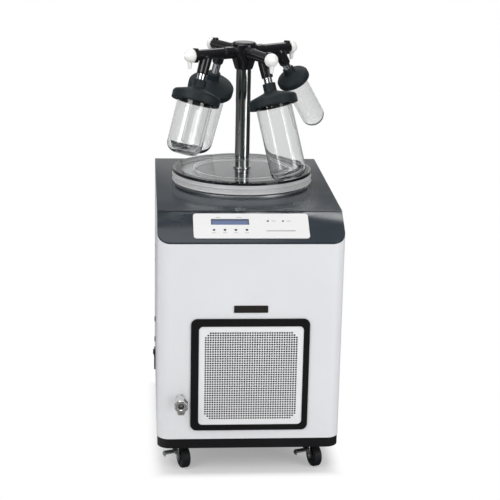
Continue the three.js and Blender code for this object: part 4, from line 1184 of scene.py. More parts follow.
@dataclass
class GrilleInlet:
    """Framed air inlet: a moulded frame round a punched sheet, and the plate above it.

    The frame's bar stands proud of the panel. A narrower ring, drawn in by the spigot's width, goes through
    the panel, and its lip holds the sheet. The opening lies off the frame's middle by the offset. The
    clipped corners of the field of holes are counted in cells.
    """

    paints: Paints
    holes: int = 38
    pitch: float = 5.3 * MM
    hole_radius: float = 2.2 * MM
    clipped: int = 2
    sides: int = 12
    bar: float = 15 * MM
    lip: float = 4 * MM
    spigot: float = 8 * MM
    proud: float = 3 * MM
    corner: float = 14 * MM
    inner_corner: float = 9 * MM
    offset: tuple[float, float] = (2 * MM, -2 * MM)

    def build(self) -> None:
        """Makes the inlet."""
        self.surround()
        self.punched_sheet()
        self.nameplate()

    def surround(self) -> None:
        """The moulded frame: a round-edged bar on the panel, and a narrower ring that goes through it."""
        low, high = corners("grille_frame")
        middle, size = (low + high) / 2, high[0] - low[0]
        opening = size - 2 * self.bar
        face = rounded_slab(size, size, self.corner, self.proud, 1.1 * MM,
                            [rounded_rectangle(opening, opening, self.inner_corner) + np.array(self.offset)])
        through = rounded_slab(size - 2 * self.spigot, size - 2 * self.spigot, 6 * MM,
                               high[1] - low[1] - self.proud, 0.2 * MM,
                               [rounded_rectangle(opening - 2 * self.lip, opening - 2 * self.lip, 6 * MM)
                                + np.array(self.offset)])
        place = matrix_of(moved_to((middle[0], low[1] + self.proud, middle[2])), turned_by(90, "X"))
        ring = face.joined(through.shifted(z=self.proud - (high[1] - low[1]))).placed(place)
        Piece.of("grille_frame_skin", ring, self.paints.grille_coat).smooth().riding("grille_frame")

    def punched_sheet(self) -> None:
        """The punched sheet: a field of round holes with a plain margin round it."""
        low, high = corners("grille_panel")
        middle, size = (low + high) / 2, high - low
        holes, rim = self.hole_field()
        outline = rounded_rectangle(size[0], size[2], self.inner_corner)
        sheet = holes.joined(filled(outline, [rim], 0.0))
        place = matrix_of(moved_to((middle[0] + self.offset[0], low[1], middle[2] + self.offset[1])),
                          turned_by(90, "X"))
        piece = Piece.of("grille_sheet", sheet.placed(place), self.paints.sheet_coat)
        self.face_front(piece)
        piece.thickened(size[1]).riding("grille_panel")

    def hole_field(self) -> tuple[Surface, Points]:
        """A square field of cells with a round hole in each, apart from those in its corners.

        Each cell is a ring between its square's rim and its hole's, both read at the same angles a. The
        square's rim lies half the pitch / max(|cos a|, |sin a|) from the middle.

        Returns:
            The field, and the outline round it with a point at every cell's corner.
        """
        angles = np.radians(360 / self.sides * (np.arange(self.sides) + 0.5))
        unit = np.stack([np.cos(angles), np.sin(angles)], 1)
        half = self.pitch / 2
        square = unit * (half / np.abs(unit).max(axis=1))[:, None]
        spots = (np.arange(self.holes) - (self.holes - 1) / 2) * self.pitch
        x, y = np.meshgrid(spots, spots, indexing="ij")
        column, row = np.meshgrid(np.arange(self.holes), np.arange(self.holes), indexing="ij")
        from_side = np.minimum(column, self.holes - 1 - column) + np.minimum(row, self.holes - 1 - row)
        open_cell = (from_side >= self.clipped).ravel()
        centres = np.stack([x.ravel(), y.ravel()], 1)
        inner = np.where(open_cell[:, None, None], unit * self.hole_radius, unit * 0.0)
        rings = np.stack([centres[:, None] + square, centres[:, None] + inner], 1)
        flat = np.concatenate([rings, np.zeros(rings.shape[:3] + (1,))], 3).reshape(-1, 3)
        ring_faces = grid_faces(2, self.sides, False, True)
        quads = (ring_faces[None] + (np.arange(len(centres)) * 2 * self.sides)[:, None, None]).reshape(-1, 4)
        field_half = self.holes * half
        reach = half * math.tan(math.radians(180 / self.sides))
        side = np.unique(np.concatenate([spots - reach, spots + reach, spots + half]))
        side = np.concatenate([[-field_half], side[side < field_half - 1e-6]])
        full = np.full(len(side), field_half)
        rim = np.concatenate([np.stack([side, -full], 1), np.stack([full, side], 1),
                              np.stack([-side, full], 1), np.stack([-full, -side], 1)])
        return Surface(flat, quads), rim

    @staticmethod
    def face_front(piece: Piece) -> None:
        """Turns a flat sheet's faces to the front.

        Args:
            piece: The sheet.
        """
        data = piece.object.data
        if sum(polygon.normal.y for polygon in data.polygons[:50]) > 0:
            data.flip_normals()

    def nameplate(self) -> None:
        """The bare plate above the inlet."""
        low, high = corners("blank_nameplate")
        middle, size = (low + high) / 2, high - low
        plate = rounded_slab(size[0], size[2], 1.2 * MM, size[1], 0.35 * MM)
        place = matrix_of(moved_to((middle[0], high[1], middle[2])), turned_by(90, "X"))
        piece = Piece.of("nameplate_skin", plate.placed(place), self.paints.plate)
        piece.smooth().riding("blank_nameplate")


# ---------------------------------------------------------------- control fascia


@dataclass
class ControlFascia:
    """Sloping control panel: a plate with openings, the display, four buttons, two lamps and the board.

    The slope comes forward by its run and down by its drop. Places on the plate are from its middle: to the
    right, then up the slope.
    """

    paints: Paints
    run: float = 85 * MM
    drop: float = 48 * MM
    gap: float = 0.3 * MM
    plate: tuple[float, float, float] = (247 * MM, 75 * MM, 2 * MM)
    corner: float = 7 * MM
    display_at: tuple[float, float] = (-45 * MM, 11.6 * MM)
    display: tuple[float, float] = (81 * MM, 17.4 * MM)
    recess: float = 0.7 * MM
    buttons_at: tuple[float, float] = (-80 * MM, -13 * MM)
    button_pitch: float = 23.3 * MM
    button_radius: float = 2.7 * MM
    lamps_at: tuple[float, float] = (36 * MM, 14 * MM)
    lamp_pitch: float = 32.5 * MM
    lamp_radius: float = 2.1 * MM

    def __post_init__(self) -> None:
        """Works out where the plate lies: on the slope between the deck and the front panel."""
        origin = cabinet_origin()
        deck = corners("top_cover")[1][2]
        slope = math.degrees(math.atan2(self.drop, self.run))
        place = origin + np.array([0.0, self.run / 2, deck - self.drop / 2])
        self.place = matrix_of(moved_to(place), turned_by(slope, "X"))

    def build(self) -> None:
        """Makes the fascia."""
        self.panel()
        self.window()
        self.lamps()
        self.marks()
        self.painted_seam_shadow()
        for number in range(1, 5):
            Piece.refined(f"button_{number}", self.paints.dark_cap, 0.35 * MM)
        recoat("control_board", self.paints.board)

    def button_places(self) -> Points:
        """Where the buttons are."""
        x = self.buttons_at[0] + np.arange(4) * self.button_pitch
        return np.stack([x, np.full(4, self.buttons_at[1])], 1)

    def lamp_places(self) -> Points:
        """Where the lamps are."""
        x = self.lamps_at[0] + np.arange(2) * self.lamp_pitch
        return np.stack([x, np.full(2, self.lamps_at[1])], 1)

    def panel(self) -> None:
        """The plate."""
        width, height, thickness = self.plate
        window = rounded_rectangle(self.display[0] + 2 * self.gap, self.display[1] + 2 * self.gap, 0.6 * MM)
        holes = [window + np.array(self.display_at)]
        holes += [circle(self.button_radius + self.gap, *place) for place in self.button_places()]
        holes += [circle(self.lamp_radius + self.gap, *place) for place in self.lamp_places()]
        plate = rounded_slab(width, height, self.corner, thickness, 0.6 * MM, holes)
        lifted = plate.shifted(z=self.gap).placed(self.place)
        piece = Piece.of("control_panel_skin", lifted, self.paints.panel)
        piece.smooth().riding("control_panel")

    def window(self) -> None:
        """The display's window, a little under the plate's face."""
        centre = np.array([*self.display_at, self.gap + self.plate[2] - self.recess])
        world = self.place[:3, :3] @ centre + self.place[:3, 3]
        glass = Display("display_glass", paint(80, 95, 133), 0.15, centre=tuple(world),
                        half_width=self.display[0] / 2, half_height=self.display[1] * 0.25,
                        rim=paint(44, 50, 70)).build()
        pane = rounded_slab(self.display[0], self.display[1], 0.5 * MM, 0.4 * MM, 0.15 * MM)
        pane = pane.shifted(*centre).shifted(z=0.02 * MM).placed(self.place)
        piece = Piece.of("display_window", pane, glass)
        piece.smooth().riding("control_panel", slot="display_blue")

    def painted_seam_shadow(self) -> None:
        """Painted shadow of the seam: a thin black strip along the bend between the deck and the fascia."""
        length = math.hypot(self.run, self.drop)
        low, high = corners("top_cover")
        # painted shadow: a black strip on the cover stands in for the shade in the gap between deck and
        # fascia
        line = rounded_slab(high[0] - low[0] - 6 * MM, 1.6 * MM, 0.4 * MM, 0.06 * MM, 0.03 * MM)
        piece = Piece.of("fascia_joint", line.shifted(y=length / 2 - 2.4 * MM).placed(self.place),
                         self.paints.black_coat)
        piece.riding("top_cover", slot="black_paint")

    def lamps(self) -> None:
        """Two domed lamps: a quarter circle of the lamp's radius, pressed flat, about each lamp's axis."""
        face = self.gap + self.plate[2]
        profile = rounded([(0, -1.5), (2.12, -1.5), (2.12, 0.1, 0.1), (1.7, 0.42, 0.4), (0, 0.5)])
        dome = revolved(profile + np.array([0, face]), segments=24)
        both = [dome.shifted(*place) for place in self.lamp_places()]
        piece = Piece.of("status_lamps", both[0].joined(both[1]).placed(self.place), self.paints.lamp)
        piece.smooth().riding("control_panel", slot="display_blue")

    def marks(self) -> None:
        """Plain grey bars in the places of the panel's captions, and a darker rule at its right."""
        bars = [(-70.3, 25.2, 9.0, 1.4), (-25.9, 25.2, 12.0, 1.4)]
        bars += [(x / MM, -21.6, 9.0, 1.2) for x, _ in self.button_places()]
        bars += [(x / MM + 12.5, 14.0, 9.0, 1.5) for x, _ in self.lamp_places()]
        self.printed("panel_marks", bars, self.paints.print_grey)
        self.printed("panel_rule", [(62.6, -15.9, 62.0, 1.6)], self.paints.plate)

    def printed(self, name: str, bars: Sequence[tuple[float, float, float, float]],
                material: bpy.types.Material) -> None:
        """Adds thin printed bars to the plate.

        Args:
            name: The piece's name.
            bars: Each bar's middle, width and height in millimetres.
            material: Their finish.
        """
        face = self.gap + self.plate[2]
        made = [rounded_slab(w * MM, h * MM, 0.2 * MM, 0.06 * MM, 0.03 * MM).shifted(x * MM, y * MM, face)
                for x, y, w, h in bars]
        piece = Piece.of(name, made[0].joined(*made[1:]).placed(self.place), material)
        piece.riding("control_panel", slot="dark_grey_paint")


def recoat(node: str, material: bpy.types.Material) -> None:
    """Gives a finish to a CAD node that keeps its shape.

    Args:
        node: The CAD node.
        material: Its finish.
    """
    held = frame["nodes"][node]
    if not held.material_slots:
        held.data.materials.append(material)
    for slot in held.material_slots:
        slot.material = material


# ---------------------------------------------------------------- drain coupling


@dataclass
class DrainCoupling:
    """Quick coupling for the meltwater hose, low on the front panel, with its thumb latch."""

    paints: Paints
    x: float = -149 * MM
    z: float = 187 * MM

    def build(self) -> None:
        """Makes the coupling and its latch."""
        place = matrix_of(moved_to(cabinet_origin() + np.array([self.x, 0.0, self.z])), turned_by(90, "X"))
        body = rounded([(5.5, -16), (7.5, -12, 0.5), (7.5, 0.3), (11, 0.3, 0.3), (11, 3.7, 0.9),
                        (8, 3.7, 0.8), (8, 12, 0.8), (12.5, 13.6, 1.6), (12.5, 31.5), (7.0, 31.5), (7.0, 28),
                        (2.4, 28), (2.4, -16)], closed=True)
        collar = rounded([(7.0, 31), (14.0, 31, 0.8), (15.75, 33.2, 1.0), (15.75, 47.2, 1.2),
                          (13.4, 49.9, 1.2), (8.2, 49.9, 0.6), (7.0, 48.6, 0.4)], closed=True)
        stem = rounded([(0, 24), (3, 24), (3, 43, 0.5), (2.2, 44, 0.3), (0, 44)])
        shells = revolved(body, True, 64).joined(revolved(collar, True, 64, bulge=self.octagon),
                                                 revolved(stem, False, 32))
        piece = Piece.of("drain_coupling_skin", shells.placed(place), self.paints.nickel)
        piece.smooth(50.0).riding("drain_coupling")
        Piece.refined("drain_latch", self.paints.satin, 0.5 * MM)
        recoat("drain_hose", self.paints.hose)

    @staticmethod
    def octagon(angles: np.ndarray) -> np.ndarray:
        """Radius of a round-cornered octagon: the flat's distance over cos of the angle from it, capped."""
        from_flat = (angles + math.pi / 8) % (math.pi / 4) - math.pi / 8
        return np.minimum(math.cos(math.pi / 8) / np.cos(from_flat), 0.985)


# ---------------------------------------------------------------- ice chamber and lid


@dataclass
class ChamberTop:
    """Stainless chamber with its jacket, the gasket on its flange and the thick clear lid.

    The lid's sizes are in millimetres: radii from its axis, and depths below its top. Its rim steps in
    between its ribs, and its edge is turned below the edge band.
    """

    paints: Paints
    facets: int = 128
    lid_radius: float = 162
    step: float = 1
    edge_band: float = 6.5
    groove: tuple[float, float] = (108.6, 114.4)
    groove_depth: float = 0.9
    seal: tuple[float, float] = (143.5, 155)
    seal_depths: tuple[float, float] = (8.5, 2.5)

    def __post_init__(self) -> None:
        """Finds the chamber's axis."""
        low, high = corners("chamber_gasket")
        self.axis = np.array([(low[0] + high[0]) / 2, (low[1] + high[1]) / 2, 0.0])

    def build(self) -> None:
        """Makes the chamber and what lies on it."""
        self.pot()
        self.ring()
        self.lid()
        recoat("chamber_insulation", self.paints.foam)

    def profile(self, corners_mm: Sequence[tuple[float, ...]], closed: bool = True) -> Surface:
        """A body turned about the chamber's axis from corners in millimetres."""
        return revolved(rounded(corners_mm, closed), closed, self.facets).shifted(*self.axis)

    def pot(self) -> None:
        """The pot with its flange; the vacuum port is a tube joined to it."""
        pot = self.profile([(4, 326), (6.5, 326), (6.5, 374), (109.5, 374, 21), (109.5, 586.3), (158, 586.3),
                            (158, 588.8, 0.6), (130, 588.8, 0.3), (129.4, 587.6, 0.2), (126.6, 587.6, 0.2),
                            (126, 588.8, 0.3), (108, 588.8, 1.6), (108, 375.5, 20), (4, 375.5)])
        bead = self.profile([(107.4, 588.2, 1.4), (111.4, 588.2, 1.4), (111.4, 591.6, 1.6),
                             (107.4, 591.6, 1.6)])
        rolled = Piece.of("chamber_mouth_bead", bead, self.paints.satin)
        rolled.smooth().riding("ice_chamber", slot="stainless_steel")
        deck = corners("top_cover")[1][2]
        port = rounded([(11, 100), (12.7, 100), (12.7, 267), (15.7, 267, 0.6), (15.7, 270), (20, 270.5, 0.5),
                        (20, 274, 0.6), (11, 274)], closed=True)
        place = matrix_of(moved_to(self.axis + np.array([0.0, 0.0, deck - 36 * MM])), turned_by(-90, "X"))
        tube = revolved(port, True, 48).placed(place)
        piece = Piece.of("ice_chamber_skin", pot.joined(tube), self.paints.chamber)
        piece.smooth().riding("ice_chamber")

    def ring(self) -> None:
        """The gasket."""
        low, high = corners("chamber_gasket")
        z0, z1 = low[2] / MM, high[2] / MM
        ring = self.band(147, 155, z0, z1, (0.5, 0.5))
        Piece.of("chamber_gasket_skin", ring, self.paints.gasket).smooth().riding("chamber_gasket")

    def lid(self) -> None:
        """The lid: a thick clear disc with a turned edge, a scribed ring and an inlaid dark seal."""
        low, high = corners("chamber_lid")
        z0, z1 = low[2] / MM, high[2] / MM
        half = (z0 + z1) / 2 - 0.5
        outer, waist = self.lid_radius, self.lid_radius - self.step
        inner, ring = self.groove
        depth = self.groove_depth
        disc = self.profile([(17.3, z0, 0.5), (outer, z0, 1.0), (outer, z0 + 2.6, 0.6),
                             (waist, z0 + 3.2, 0.3), (waist, half - 1.5, 0.3), (outer, half - 1.0, 0.5),
                             (outer, half + 1.0, 0.5), (waist, half + 1.5, 0.3),
                             (waist, z1 - self.edge_band), (waist, z1, 1.6), (ring, z1, 0.2),
                             (ring - 0.3, z1 - depth, 0.1), (inner + 0.3, z1 - depth, 0.1),
                             (inner, z1, 0.2), (17.3, z1, 0.8)])
        made = Piece.of("chamber_lid_skin", disc, self.paints.acrylic).smooth()
        made.partly(self.paints.acrylic_edge, self.axis, (waist - 0.8) * MM, (z1 - self.edge_band) * MM)
        made.riding("chamber_lid")
        scribe = self.band(inner + 0.6, ring - 0.6, z1 - depth + 0.1, z1 - 0.1, (0.1, 0.3))
        piece = Piece.of("lid_scribe", scribe, self.paints.acrylic_edge)
        piece.smooth().riding("chamber_lid", slot="clear_acrylic")
        deep, shallow = self.seal_depths
        seal = self.band(*self.seal, z1 - deep, z1 - shallow, (0.5, 0.5))
        piece = Piece.of("lid_seal", seal, self.paints.seal)
        piece.smooth().riding("chamber_lid", slot="black_rubber")

    def band(self, inner: float, outer: float, bottom: float, top: float,
             rounding: tuple[float, float]) -> Surface:
        """A ring with an oblong section.

        Args:
            inner: Its inner radius, in millimetres like the rest.
            outer: Its outer radius.
            bottom: The height of its underside.
            top: The height of its top.
            rounding: The radius of its lower corners, and of its upper ones.

        Returns:
            A closed surface.
        """
        under, over = rounding
        return self.profile([(inner, bottom, under), (outer, bottom, under), (outer, top, over),
                             (inner, top, over)])


# ---------------------------------------------------------------- manifold


@dataclass(frozen=True)
class CapShape:
    """Sizes of a flask's rubber cap, in millimetres along the branch and from its axis."""

    radius: float
    neck: float
    neck_height: float
    rim_top: float
    rim_bottom: float
    seat: float
    ledge: float


@dataclass(frozen=True)
class GlassShape:
    """Sizes of a flask, in millimetres."""

    radius: float
    length: float
    corner: float
    wall: float


@dataclass(frozen=True)
class Arm:
    """One arm of the manifold and what hangs on it.

    Its bearing is about the column's axis, its lean is its branch's away from the column, and its swing is
    the branch's sideways, all in degrees. Its neck is the branch's length in millimetres.
    """

    name: str
    bearing: float
    lean: float
    swing: float
    neck: float
    cap: CapShape
    glass: GlassShape

    @property
    def glass_top(self) -> float:
        """How far down the branch the flask's rim lies, in millimetres."""
        return self.neck + self.cap.rim_bottom - self.cap.seat + 0.3


WIDE_CAP = CapShape(55, 14.6, 19, 31, 52, 12, 6)
SMALL_CAP = CapShape(39, 13.6, 12, 22, 38, 10, 4)
ARMS = (
    Arm("front_left", 211.5, 20.4, 6.7, 59.2, WIDE_CAP, GlassShape(40.5, 130, 22, 2.2)),
    Arm("rear_left", 116.5, 26, 0, 75, WIDE_CAP, GlassShape(40, 182, 22, 2.2)),
    Arm("front_right", 290.5, 20.1, 6.2, 58.6, WIDE_CAP, GlassShape(40.5, 178, 24, 2.4)),
    Arm("rear_right", 37, 35.5, 0, 61.5, SMALL_CAP, GlassShape(28, 143, 27.2, 1.8)),
)


@dataclass
class Manifold:
    """Column, hub and four arms, each a rubber valve with a turning knob, an adapter, a cap and a flask.

    Heights are in millimetres above the deck, and distances in millimetres from the column's axis.
    """

    paints: Paints
    arm_height: float = 304.2
    branch_x: float = 102
    hub_bottom: float = 264.7
    column_top: float = 292.2
    valve_end: float = 138
    skin: float = 0.9 * MM

    def __post_init__(self) -> None:
        """Finds the manifold's axis at deck height."""
        low, high = corners("chamber_gasket")
        deck = corners("top_cover")[1][2]
        self.origin = np.array([(low[0] + high[0]) / 2, (low[1] + high[1]) / 2, deck])

    def build(self) -> None:
        """Makes the manifold."""
        self.column()
        self.hub()
        for arm in ARMS:
            self.valve(arm)
            self.knob(arm)
            self.adapter(arm)
            self.cap(arm)
            self.flask(arm)

    def arm_matrix(self, arm: Arm) -> Matrix:
        """Where an arm lies: X out along it, Z up, from the hub's axis."""
        return moved_to(self.origin + np.array([0, 0, self.arm_height * MM])) @ turned_by(arm.bearing, "Z")

    def along_arm(self, arm: Arm) -> np.ndarray:
        """Lays a body made along +Z out along an arm."""
        return matrix_of(self.arm_matrix(arm), turned_by(90, "Y"))

    def on_branch(self, arm: Arm) -> np.ndarray:
        """Hangs a body made along -Z on an arm's branch."""
        return matrix_of(self.arm_matrix(arm), turned_by(arm.swing, "X"),
                         moved_to((self.branch_x * MM, 0, 0)), turned_by(-arm.lean, "Y"))

    def column(self) -> None:
        """Stainless pipe with a collar that stands on the lid."""
        bottom = (corners("manifold_column")[0][2] - self.origin[2]) / MM
        lid = (corners("chamber_lid")[1][2] - self.origin[2]) / MM + 0.3
        profile = rounded([(15, bottom), (17, bottom, 0.4), (17, lid), (21, lid, 0.3), (21, lid + 3.2, 1.0),
                           (17, lid + 3.2, 0.3), (17, self.column_top, 0.4), (15, self.column_top)],
                          closed=True)
        piece = Piece.of("manifold_column_skin", revolved(profile, True, 96).shifted(*self.origin),
                         self.paints.pipe)
        piece.smooth().riding("manifold_column")

    def hub(self) -> None:
        """Moulded hub: a cup that widens upwards, with a raised disc on top and a nipple for each arm."""
        cup = rounded([(0, self.hub_bottom), (20, self.hub_bottom, 1.5), (27.4, 288.2, 4), (28.8, 296.2, 2),
                       (28.8, 322.2, 3.5), (24.5, 326.5, 2.5), (0, 326.5)])
        shells = revolved(cup, False, 96).shifted(*self.origin)
        nipple = rounded([(0, 14), (12.3, 14), (12.3, 31.4, 0.8), (7.9, 31.5, 0.4), (7.9, 51.6, 1.2),
                          (0, 51.8)])
        parts = [revolved(nipple, False, 48).placed(self.along_arm(arm)) for arm in ARMS]
        piece = Piece.of("manifold_hub_skin", shells.joined(*parts), self.paints.valve)
        piece.fused(self.skin, 3).riding("manifold_hub")

    def valve(self, arm: Arm) -> None:
        """Rubber valve: a tube along the arm with a collar, a tab above and below its end, and the branch.

        Args:
            arm: The arm.
        """
        tube = rounded([(0, 32.1), (13.9, 32.1, 1.5), (13.9, 55.5, 1.2), (12.2, 57.5, 1.0), (12.2, 130, 2),
                        (12.2, 137.9, 1.2), (0, 137.9)])
        branch = rounded([(0, -45.9), (12.8, -45.9, 1.4), (13.9, -9, 5), (9.5, 3.5, 3), (0, 3.8)])
        tabs = [brick((127.4 * MM, -5.4 * MM, low * MM), (137.2 * MM, 5.4 * MM, high * MM))
                for low, high in ((-15.8, -10.0), (10.0, 15.8))]
        shells = revolved(tube, False, 64).placed(self.along_arm(arm)).joined(
            revolved(branch, False, 64).placed(self.on_branch(arm)),
            *[tab.placed(np.array(self.arm_matrix(arm))) for tab in tabs])
        name = f"valve_body_{arm.name}"
        Piece.of(name + "_skin", shells, self.paints.valve).fused(self.skin, 3).riding(name)

    def knob(self, arm: Arm) -> None:
        """Turning knob: a dome that ends in a soft point, with a vent spout down from its side.

        Args:
            arm: The arm.
        """
        start = self.valve_end + 0.4
        dome = rounded([(0, start - 6), (8, start - 6), (8, start), (13.4, start, 1.0),
                        (15.4, start + 3.5, 4), (15.3, start + 9.5, 6), (11.0, start + 17.5, 6),
                        (3.2, start + 23.4, 2.5), (0, start + 25.8)])
        spout = rounded([(0, -28.8), (3.4, -28.8, 0.6), (4.2, -25.5, 1), (5.6, -13, 2), (6.6, -8), (0, -8)])
        drop = matrix_of(self.arm_matrix(arm), moved_to(((start + 9.4) * MM, 0, 0)))
        shells = revolved(dome, False, 64).placed(self.along_arm(arm)).joined(
            revolved(spout, False, 32).placed(drop))
        name = f"valve_knob_{arm.name}"
        Piece.of(name + "_skin", shells, self.paints.knob).fused(0.7 * MM, 4).riding(name)

    def adapter(self, arm: Arm) -> None:
        """Metal tube from the branch down into the cap.

        Args:
            arm: The arm.
        """
        low, high = -arm.neck - 30, -22
        profile = rounded([(7.6, low), (9.5, low, 0.4), (9.5, high, 0.4), (7.6, high)], closed=True)
        name = f"flask_adapter_{arm.name}"
        tube = revolved(profile, True, 48).placed(self.on_branch(arm))
        Piece.of(name + "_skin", tube, self.paints.chrome).smooth().riding(name)

    def cap(self, arm: Arm) -> None:
        """Rubber cap: a neck that flares into a sloping shoulder, a thick rim, and a seat for the glass.

        Args:
            arm: The arm.
        """
        cap, glass = arm.cap, arm.glass
        seat = cap.rim_bottom - cap.seat
        outline = [(9.9, 0, 0.6), (cap.neck - 0.1, 0, 1.4), (cap.neck - 0.1, cap.neck_height, 5),
                   (cap.radius - 3.6, cap.rim_top, 3), (cap.radius - 0.1, cap.rim_top + 4.6, 3),
                   (cap.radius - 0.1, cap.rim_bottom, 2.2), (glass.radius + 2.6, cap.rim_bottom, 1.2),
                   (glass.radius + 0.3, cap.rim_bottom - 2.2, 1.0), (glass.radius + 0.3, seat),
                   (glass.radius - cap.ledge, seat, 1.2), (glass.radius - cap.ledge - 6, cap.rim_top, 1.5),
                   (9.9, cap.neck_height + 5)]
        profile = rounded([(r, -arm.neck - depth, *rest) for r, depth, *rest in outline], closed=True)
        name = f"flask_cap_{arm.name}"
        body = revolved(profile, True, 96).placed(self.on_branch(arm))
        Piece.of(name + "_skin", body, self.paints.cap).smooth().riding(name)

    def flask(self, arm: Arm) -> None:
        """Glass flask: a beaded mouth, a straight wall, and a thick rounded bottom with a slight push-up.

        Args:
            arm: The arm.
        """
        glass = arm.glass
        r, w, top = glass.radius, glass.wall, -arm.glass_top
        bottom = top - glass.length
        foot = r - 0.35 - glass.corner
        outline = [(0, bottom + 1.9), (foot * 0.72, bottom + 1.5, 4), (foot * 0.98, bottom + 0.4, 2),
                   (r - 0.35, bottom + 0.4, glass.corner), (r - 0.35, top, 0.7), (r - w, top, 0.7),
                   (r - w, bottom + w * 2.1, glass.corner - w), (foot * 0.7, bottom + w * 2.1, 5),
                   (0, bottom + w * 2.1 + 1.8)]
        body = revolved(rounded(outline, step=7.0), False, 96).placed(self.on_branch(arm))
        name = f"flask_{arm.name}"
        Piece.of(name + "_skin", body, self.paints.glass).smooth(60.0).riding(name)


# ---------------------------------------------------------------- casters


@dataclass
class Casters:
    """Four swivelling casters, turned by so many degrees, the front pair with brake pedals."""

    paints: Paints
    turn: float = 18

    def build(self) -> None:
        """Makes the casters."""
        for side in ("front_left", "front_right", "rear_left", "rear_right"):
            Piece.refined(f"caster_fork_{side}", self.paints.zinc, 0.7 * MM)
            self.wheel(side)
        for side in ("front_left", "front_right"):
            Piece.refined(f"brake_pedal_{side}", self.paints.zinc, 0.5 * MM)

    def wheel(self, side: str) -> None:
        """A wheel: a tread with two grooves and rounded shoulders, on a dished core with a raised boss.

        Args:
            side: Which caster it belongs to.
        """
        low, high = corners(f"caster_wheel_{side}")
        place = matrix_of(moved_to((low + high) / 2), turned_by(self.turn, "Z"), turned_by(90, "Y"))
        tread = rounded([(18.2, -8.6), (19.5, -9.4, 0.8), (22.6, -9.4, 2.4), (24.9, -6.0, 2.4),
                         (24.9, -3.1, 0.3), (24.1, -2.7, 0.3), (24.1, -2.1, 0.3), (24.9, -1.7, 0.3),
                         (24.9, 1.7, 0.3), (24.1, 2.1, 0.3), (24.1, 2.7, 0.3), (24.9, 3.1, 0.3),
                         (24.9, 6.0, 2.4), (22.6, 9.4, 2.4), (19.5, 9.4, 0.8), (18.2, 8.6)], closed=True)
        core = rounded([(3.3, -10.2), (8.8, -10.2, 0.8), (9.6, -7.6, 1.0), (17.0, -7.2, 0.8),
                        (18.4, -8.8, 0.4), (18.6, -8.8), (18.6, 8.8), (18.4, 8.8, 0.4), (17.0, 7.2, 0.8),
                        (9.6, 7.6, 1.0), (8.8, 10.2, 0.8), (3.3, 10.2)], closed=True)
        name = f"caster_wheel_{side}"
        tyre = Piece.of(name + "_tyre", revolved(tread, True, 72).placed(place), self.paints.tyre)
        tyre.smooth(30.0).riding(name)
        hub = Piece.of(name + "_core", revolved(core, True, 48).placed(place), self.paints.wheel_core)
        hub.smooth(30.0).riding(name, slot="black_plastic")


# ---------------------------------------------------------------- what is inside, and the power entry


@dataclass
class Works:
    """The refrigeration set inside the cabinet, and the power entry on its left side."""

    paints: Paints

    def build(self) -> None:
        """Makes the pieces."""
        for node, material, bevel in (("compressor", self.paints.can, 1.2 * MM),
                                      ("condenser_coil", self.paints.fins, 0.0),
                                      ("fan_rotor", self.paints.inlet, 0.4 * MM),
                                      ("fan_motor", self.paints.motor, 0.6 * MM),
                                      ("power_inlet", self.paints.inlet, 0.5 * MM),
                                      ("power_rocker", self.paints.inlet, 0.4 * MM)):
            Piece.refined(node, material, bevel)


# ---------------------------------------------------------------- studio


@dataclass(frozen=True)
class Lamp:
    """A soft rectangular lamp: where it hangs, what it points at, its width and height, and its watts."""

    name: str
    place: tuple[float, float, float]
    target: tuple[float, float, float]
    size: tuple[float, float]
    power: float

    def hang(self, origin: Points) -> None:
        """Makes the lamp.

        Args:
            origin: The point that its place and its target are measured from.
        """
        data = bpy.data.lights.new(self.name, "AREA")
        data.shape = "RECTANGLE"
        data.size, data.size_y = self.size
        data.energy = self.power
        held = bpy.data.objects.new(self.name, data)
        spot = Vector(origin) + Vector(self.place)
        aim = Vector(origin) + Vector(self.target) - spot
        held.matrix_world = Matrix.Translation(spot) @ aim.to_track_quat("-Z", "Y").to_matrix().to_4x4()
        bpy.context.scene.collection.objects.link(held)


LAMPS = (
    Lamp("key", (-1.7, -2.3, 2.5), (0, 0.25, 0.4), (1.6, 1.6), 34.5),
    Lamp("fill", (2.4, -2.2, 1.6), (0, 0.2, 0.4), (1.4, 1.8), 16),
    Lamp("above", (-0.85, 0.6, 3.0), (0, 0.3, 0.4), (1.9, 2.2), 17),
    Lamp("bar", (-0.2, -0.6, 2.4), (0, 0.3, 0.6), (2.2, 0.14), 7),
    Lamp("rear", (0.9, 3.0, 3.1), (0, 0.6, 0.3), (1.6, 1.2), 18),
    Lamp("right_strip", (1.458, -1.08, 0.75), (0, 0.29, 0.7), (0.8, 1.5), 8),
    Lamp("left_strip", (-1.71, -1.09, 1.4), (0, 0.29, 0.7), (0.16, 1.3), 5),
)


